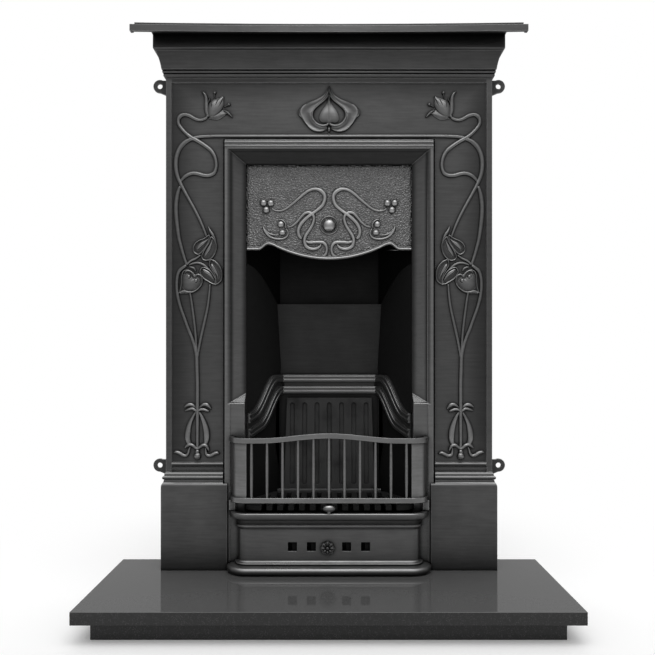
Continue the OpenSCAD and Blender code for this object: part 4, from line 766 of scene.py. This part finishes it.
class FIREPLACE_OT_castings(bpy.types.Operator):
    """Rounds the edges of the castings and gives them their finish"""
    bl_idname = "fireplace.castings"
    bl_label = "Castings"

    def execute(self, context):
        width = context.scene.fireplace_sizes.edge_round
        for node, finish in (("front_panel", "panel"), ("mantel_shelf", "iron"), ("insert_frame", "insert"),
                             ("canopy", "canopy")):
            softened(node, finish, width)
        for node in ("cheek_left", "cheek_right", "fireback"):
            softened(node, node, width)
        softened("back_brick", "clay", 1.3 * width)
        softened("bottom_grate", "soot", width, "grate")
        softened("front_bars", "bars", 0.8 * width, body="bars")
        softened("ash_cover", "cover", width, body="cover")
        softened("ash_cover_knob", "bars", 0.5 * width, body="cover")
        return {"FINISHED"}


class FIREPLACE_OT_flowers(bpy.types.Operator):
    """Lays the stems, buds and flowers on the jambs, and the spade with its wings on the frieze"""
    bl_idname = "fireplace.flowers"
    bl_label = "Flowers in relief"

    def execute(self, context):
        bold = context.scene.fireplace_sizes.relief
        rim_half, rim_high, dish = 2.1, 3.4 * bold, 0.9 * bold      # a petal's rolled rim and its hollow
        for name, side in (("left", 1), ("right", -1)):
            shells = []
            for part, table in JAMB_STEMS.items():
                shells.append(stem(scaled(table, side, STEM_BOLD if part.startswith("stem") else 1.0, bold)))
            shells += [stem(scaled(table, side, 1.0, bold)) for table in JAMB_LOBES.values()]
            for outline in JAMB_PETALS.values():
                line = smooth_path(sided(outline, side), closed=True)
                shells += [domed_plate(line, dish), roll(line, rim_half, rim_high, True, 7)]
            for height, outline in JAMB_DOMES.values():
                shells.append(domed_plate(smooth_path(sided(outline, side), closed=True), height * bold))
            for table in JAMB_KNOBS.values():
                shells += [boss(x, z, r, r, h) for x, z, r, h in scaled(table, side, 1.0, bold)]
            new_piece("flowers_" + name, shells, FIELD, "relief")
        rail = [(x, RAIL_Z, 4.2, 3.8 * bold) for x in np.linspace(-RAIL_HALF, RAIL_HALF, 11)]
        shells = [stem(rail, 6.0)]
        for side in (1, -1):
            wing = smooth_path(scaled(SPADE_PARTS["wing"], side, 1.0, bold), 2.0)
            shells.append(carried(wing, hollow_section()))
            shells += [stem(scaled(SPADE_PARTS[part], side, 1.0, bold)) for part in ("wing_rim", "wing_edge")]
        shells.append(domed_plate(smooth_path(SPADE_PARTS["heart"], closed=True), HEART_H * bold))
        shells.append(stem(scaled(SPADE_PARTS["heart_ridge"], 1, 1.0, bold)))
        shells += [boss(x, z, rx, rz, h * bold) for x, z, rx, rz, h in SPADE_BEADS]
        new_piece("spade_motif", shells, FIELD, "relief")
        return {"FINISHED"}


def canopy_edge(x):
    """The canopy's lower edge above the hearth: a shallow bowl between two crests, then down to flat
    ears, as the casting has it."""
    a = np.abs(x)
    crest_x, end_x, mid, crest, low = 153.0, 178.0, 768.0, 806.0, 792.0
    rise = crest - mid
    bowl = mid + 1.08 * rise * (a / crest_x) ** 2
    shoulder = mid + 0.799 * rise + 0.201 * rise * np.sin(math.pi / 2 * (a / crest_x - 0.86) / 0.14)
    fall = low + (crest - low) * (1 + np.cos(math.pi * (a - crest_x) / (end_x - crest_x))) / 2
    return np.select([a < 0.86 * crest_x, a < crest_x, a < end_x], [bowl, shoulder, fall], low)


def hammered(x, z, pitch, depth):
    """Height of a hammered face: random noise with every wave longer than three pitches or shorter than
    half a pitch taken out, so that dimples of about one pitch are left."""
    step = pitch / 4
    rng = np.random.default_rng(7)
    wide, tall = 384, 256
    waves = np.hypot(np.fft.fftfreq(wide, step)[None, :], np.fft.fftfreq(tall, step)[:, None])
    band = np.exp(-(waves * 0.55 * pitch) ** 4) * (1 - np.exp(-(waves * 2.2 * pitch) ** 4))
    noise = np.fft.ifft2(np.fft.fft2(rng.standard_normal((tall, wide))) * band).real
    noise = np.tanh(noise / noise.std())
    column = (x / step) % wide
    row = (z / step) % tall
    c, r = np.floor(column).astype(int), np.floor(row).astype(int)
    fc, fr = column - c, row - r
    c, r, c2, r2 = c % wide, r % tall, (c + 1) % wide, (r + 1) % tall
    return depth * ((noise[r, c] * (1 - fc) + noise[r, c2] * fc) * (1 - fr)
                    + (noise[r2, c] * (1 - fc) + noise[r2, c2] * fc) * fr)


class FIREPLACE_OT_canopy(bpy.types.Operator):
    """Lays the hammered face on the canopy, with its whiplash stems, buds, berries and boss"""
    bl_idname = "fireplace.canopy"
    bl_label = "Canopy face"

    def execute(self, context):
        sizes = context.scene.fireplace_sizes
        bold, stand = sizes.relief, 0.8     # the relief stands on the hammered face, which is itself raised
        new_piece("canopy_face", [self.face(sizes)], CANOPY_FACE, "canopy", sharp=60)
        shells = []
        for side in (1, -1):
            shells += [stem(scaled(table, side, WHIP_BOLD, bold, stand)) for table in CANOPY_STEMS.values()]
            shells += [boss(side * u, v, rx, rz, bold * h + stand, 24, 8) for u, v, rx, rz, h in CANOPY_KNOBS]
        turns = np.linspace(0, 2 * math.pi, 16, False)
        ring = [(BOSS_RING * math.cos(a), BOSS_Z + BOSS_RING * math.sin(a)) for a in turns]
        ring_half, ring_high = 1.9, 3.0
        shells.append(roll(smooth_path(ring, closed=True), ring_half, ring_high, True))
        shells.append(boss(0, BOSS_Z, BOSS_R, BOSS_R, BOSS_H, 36, 10))
        # a bead runs on the raised edge along the foot
        bead_half, bead_high, margin = 3.3, 1.8, 2.0
        u = np.linspace(-OPENING_HALF + margin, OPENING_HALF - margin, 90)
        foot = smooth_path(np.stack([u, canopy_edge(u) + 3.4], axis=1))
        shells.append(roll(foot, bead_half, CANOPY_RISE + bead_high, False))
        new_piece("canopy_flowers", shells, CANOPY_FACE, "whip")
        return {"FINISHED"}

    @staticmethod
    def face(sizes):
        """The hammered sheet: rows of points from the canopy's foot to its top, closed below by a flat foot."""
        columns, rows = 400, 236
        margin, overlap, thick, let_in = 0.6, 0.5, 0.9, 0.3
        x = np.linspace(-OPENING_HALF + margin, OPENING_HALF - margin, columns)[None, :]
        low = canopy_edge(x) + CANOPY_LIP - overlap
        z = low + np.linspace(0, 1, rows)[:, None] * (CANOPY_TOP - low)
        x = np.broadcast_to(x, z.shape)
        high = thick + hammered(x, z, sizes.hammer_pitch / MM, sizes.hammer_depth / MM)
        top = np.stack([x, z, high], axis=-1).reshape(-1, 3)
        foot = np.stack([x[[0, -1]], z[[0, -1]], np.full((2, columns), -let_in)], axis=-1).reshape(-1, 3)
        last, base = (rows - 1) * columns, rows * columns
        faces = grid_quads(rows, columns)[:, [0, 3, 2, 1]].tolist()
        corners = np.array([(0, base, base + 1, 1), (last, last + 1, base + columns + 1, base + columns),
                            (base, base + columns, base + columns + 1, base + 1)])
        faces += (corners[:, None, :] + np.arange(columns - 1)[:, None]).reshape(-1, 4).tolist()
        faces.append([r * columns for r in range(rows)] + [base + columns, base])
        faces.append([r * columns + columns - 1 for r in range(rows - 1, -1, -1)]
                     + [base + columns - 1, base + 2 * columns - 1])
        return np.vstack([top, foot]), faces


class FIREPLACE_OT_rosette(bpy.types.Operator):
    """Lays eight petals and a button on the rosette that works the vents"""
    bl_idname = "fireplace.rosette"
    bl_label = "Vent rosette"

    def execute(self, context):
        paint("iron", "vent_knob")
        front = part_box("vent_knob")[0].y / MM
        middle = np.array([ROSETTE_X, ROSETTE_Z, 0.0])
        # the petals' distance, half length and half width, and the button's radius
        out, long, wide, button = (share * ROSETTE_R for share in (0.64, 0.32, 0.2, 0.24))
        shells = []
        for a in np.linspace(0, 2 * math.pi, 8, False):
            points, faces = boss(out, 0, long, wide, 2.4, 14, 5)
            points[:, 2] -= 0.2 * ROSETTE_T
            turned = np.array([[math.cos(a), math.sin(a), 0], [-math.sin(a), math.cos(a), 0], [0, 0, 1]])
            shells.append((points @ turned + middle, faces))
        shells.append(boss(ROSETTE_X, ROSETTE_Z, button, button, 2.0, 16, 6))
        new_piece("rosette_petals", shells, Plane((0, front, HEARTH_TOP), (1, 0, 0)), "steel",
                  body="slide")
        return {"FINISHED"}


class FIREPLACE_OT_rims(bpy.types.Operator):
    """Runs two ridges along each roll of the rim round the fire"""
    bl_idname = "fireplace.rims"
    bl_label = "Rim mouldings"

    def execute(self, context):
        # how far down the rim each ridge runs: two on the upper roll and two on the lower
        first, second = 0.27 * ROLL_WIDTH, 0.75 * ROLL_WIDTH
        ridges = (first, second, RIM_WIDTH - second, RIM_WIDTH - first)
        # on the cheeks the rim falls forwards in a soft step: half a cosine wave and a straight slope
        t = np.linspace(0.01, 0.985, 60)
        for side, plane in (("right", CHEEK_RIGHT), ("left", CHEEK_LEFT)):
            lines = []
            for down in ridges:
                u = np.maximum(0, t + 0.0055 * down - 0.28)
                drop = (1 - np.cos(math.pi * np.minimum(1, u / 0.6))) / 2
                v = RIM_HIGH - down - RIM_FALL * (0.6 * drop + 0.4 * u / 0.82)
                right = side == "right"
                line = np.stack([CHEEK_LENGTH * (t if right else 1 - t), v], axis=1)
                lines.append(line if right else line[::-1])
            self.lay("rim_ridges_" + side, lines, plane, "cheek_" + side)
        half = BACK_HALF - RIM_OUT * 0.9
        lines = [np.array([(-half, RIM_HIGH - down), (half, RIM_HIGH - down)]) for down in ridges]
        self.lay("rim_ridges_back", lines, BACK_FACE, "fireback")
        return {"FINISHED"}

    @staticmethod
    def lay(name, lines, plane, finish):
        """Half round ridges along the lines, on top of the rim's rolls."""
        shells = []
        for line in lines:
            points, faces = roll(line, half=3.4, height=2.0, closed=False, count=7, sink=0.6)
            points[:, 2] += RIM_OUT
            shells.append((points, faces))
        new_piece(name, shells, plane, finish)


class FIREPLACE_OT_hearth(bpy.types.Operator):
    """Polishes the stone of the hearth and eases its edges"""
    bl_idname = "fireplace.hearth"
    bl_label = "Hearth"

    def execute(self, context):
        width = context.scene.fireplace_sizes.stone_round
        for node in ("hearth_slab", "riser_front", "riser_left", "riser_right"):
            softened(node, "granite", width)
        paint("mortar", "hearth_bed")
        return {"FINISHED"}


class FIREPLACE_OT_inner_works(bpy.types.Operator):
    """Finishes what works inside and behind: the throat, damper, slide, ash pan, bolts and screws"""
    bl_idname = "fireplace.inner_works"
    bl_label = "Inner works"

    def execute(self, context):
        paint("sheet", "ash_pan", "ash_pan_handle", "vent_slide", "vent_guides", "throat_box",
              "damper_flap")
        paint("steel", "shelf_bolts", "insert_bolts", "canopy_bolts", "cheek_bolts",
              "fireback_bolts", "throat_bolts", "guide_screws", "damper_pin", "damper_lever")
        return {"FINISHED"}


class FIREPLACE_OT_studio(bpy.types.Operator):
    """Sets the pale floor, the soft lights, the white backdrop and the camera"""
    bl_idname = "fireplace.studio"
    bl_label = "Studio"

    def execute(self, context):
        scene = context.scene
        colours = scene.fireplace_colours
        self.floor(scene, tuple(colours.floor), tuple(colours.backdrop))
        self.backdrop(scene, tuple(colours.backdrop))
        self.lamp(scene, "key softbox", (0.0, -1.3, 2.1), (0.0, 0.0, 0.9), 0.3, 0.9)
        self.lamp(scene, "top softbox", (0.2, -0.9, 3.2), (0.0, -0.1, 0.5), 1.6, 10)
        self.camera(scene)
        scene.view_settings.view_transform = "Standard"
        return {"FINISHED"}

    def floor(self, scene, pale, backdrop):
        """A pale floor that keeps the shadow. The camera sees it as white, as it does the backdrop."""
        mesh = bpy.data.meshes.new("floor")
        s, level = 15.0, -0.0005
        mesh.from_pydata([(-s, -s, level), (s, -s, level), (s, s, level), (-s, s, level)], [], [(0, 1, 2, 3)])
        material, tree, place = new_material("matt white floor")
        ray = add(tree, "LightPath")
        away = add(tree, "VectorMath", [place], operation="LENGTH")
        # the camera sees the shadow close to the hearth, and pure white further off
        glow = add(tree, "Emission", [backdrop, 0.11])
        near = add(tree, "AddShader", [add(tree, "BsdfDiffuse", [pale]), glow])
        fade = add(tree, "MapRange", [away, 0.7, 1.3], interpolation_type="SMOOTHSTEP")
        seen = add(tree, "MixShader", [fade, near, add(tree, "Emission", [backdrop, 1.0])])
        # painted light: unseen by the camera, the floor glows brightest a stride in front of the hearth, and that
        # glow lights the plinths
        start = add(tree, "MapRange", [away, 0.75, 1.35, 0.04, 0.66], interpolation_type="SMOOTHSTEP")
        stop = add(tree, "MapRange", [away, 1.8, 3.0, 1.0, 0.1], interpolation_type="SMOOTHSTEP")
        pool = add(tree, "Math", [start, stop], operation="MULTIPLY")
        floor_glow = add(tree, "Emission", [backdrop, pool])
        lit = add(tree, "AddShader", [add(tree, "BsdfDiffuse", [linear("#8c8c8c")]), floor_glow])
        both = add(tree, "MixShader", [ray.outputs["Is Camera Ray"], lit, seen])
        add(tree, "OutputMaterial", [both])
        mesh.materials.append(material)
        floor = bpy.data.objects.new("floor", mesh)
        scene.collection.objects.link(floor)

    def backdrop(self, scene, backdrop):
        """A white surround. Light from it is plainer and softer than what the camera sees."""
        world = bpy.data.worlds.new("white studio")
        world.use_nodes = True
        tree = world.node_tree
        tree.nodes.clear()
        ray = add(tree, "LightPath")
        direct = add(tree, "Math", [ray.outputs["Is Camera Ray"], ray.outputs["Is Transmission Ray"]],
                     operation="MAXIMUM")
        x, y, z = add(tree, "SeparateXYZ", [add(tree, "TexCoord").outputs["Generated"]]).outputs
        # the front of the room: bright above and in the middle, dimmer at the sides
        aside = add(tree, "Math", [x], operation="ABSOLUTE")
        middle = add(tree, "MapRange", [aside, 0.3, 0.85, 1.0, 0.0], interpolation_type="SMOOTHSTEP")
        above = add(tree, "MapRange", [z, 0.2, 0.8, 0.22, 1.20], interpolation_type="SMOOTHSTEP")
        front = add(tree, "Math", [middle, above, 0.27], operation="MULTIPLY_ADD")
        # behind the fireplace: a dimmer strip just over the floor, so that the polished slab stays dark
        strip = add(tree, "MapRange", [z, 0.42, 0.60, 0.37, 1.0], interpolation_type="SMOOTHSTEP")
        behind = add(tree, "MapRange", [y, 0.1, 0.5], interpolation_type="SMOOTHSTEP")
        level = add(tree, "Mix", [behind, front, strip])
        room = add(tree, "Background", [linear("#ffffff"), level])
        both = add(tree, "MixShader", [direct, room, add(tree, "Background", [backdrop, 1.0])])
        add(tree, "OutputWorld", [both])
        scene.world = world

    def lamp(self, scene, name, place, target, size, watts):
        """A square softbox that points at the target."""
        light = bpy.data.lights.new(name, "AREA")
        light.size = size
        light.energy = watts
        made = bpy.data.objects.new(name, light)
        scene.collection.objects.link(made)
        made.location = place
        made.rotation_euler = (Vector(target) - Vector(place)).to_track_quat("-Z", "Y").to_euler()

    def camera(self, scene):
        """A level camera a little to the right of the fireplace's axis, with the picture's own shift."""
        lens = bpy.data.cameras.new("camera")
        lens.sensor_width = 36.0
        lens.lens = 39.24
        lens.shift_x = -0.0061
        lens.shift_y = 0.0405
        made = bpy.data.objects.new("camera", lens)
        scene.collection.objects.link(made)
        made.location = (0.006, -1.849, 0.601)
        made.rotation_euler = (math.pi / 2, 0, 0)
        scene.camera = made


class FIREPLACE_PT_panel(bpy.types.Panel):
    """The fireplace's sizes, colours and pieces"""
    bl_label = "Fireplace"
    bl_idname = "FIREPLACE_PT_panel"
    bl_space_type = "VIEW_3D"
    bl_region_type = "UI"
    bl_category = "Fireplace"

    def draw(self, context):
        for group in (context.scene.fireplace_sizes, context.scene.fireplace_colours):
            for key in group.__annotations__:
                self.layout.prop(group, key)
        for kind in PIECES:
            self.layout.operator(kind.bl_idname)


PIECES = (FIREPLACE_OT_castings, FIREPLACE_OT_flowers, FIREPLACE_OT_canopy, FIREPLACE_OT_rosette,
          FIREPLACE_OT_rims, FIREPLACE_OT_hearth, FIREPLACE_OT_inner_works, FIREPLACE_OT_studio)
CLASSES = (FireplaceSizes, FireplaceColours, *PIECES, FIREPLACE_PT_panel)


def register():
    for kind in CLASSES:
        bpy.utils.register_class(kind)
    bpy.types.Scene.fireplace_sizes = PointerProperty(type=FireplaceSizes)
    bpy.types.Scene.fireplace_colours = PointerProperty(type=FireplaceColours)


def unregister():
    del bpy.types.Scene.fireplace_colours
    del bpy.types.Scene.fireplace_sizes
    for kind in reversed(CLASSES):
        bpy.utils.unregister_class(kind)


def main():
    """Makes every piece in order."""
    register()
    make_finishes()
    for make in (bpy.ops.fireplace.castings, bpy.ops.fireplace.flowers, bpy.ops.fireplace.canopy,
                 bpy.ops.fireplace.rosette, bpy.ops.fireplace.rims, bpy.ops.fireplace.hearth,
                 bpy.ops.fireplace.inner_works, bpy.ops.fireplace.studio):
        make()


if __name__ == "__main__":
    main()
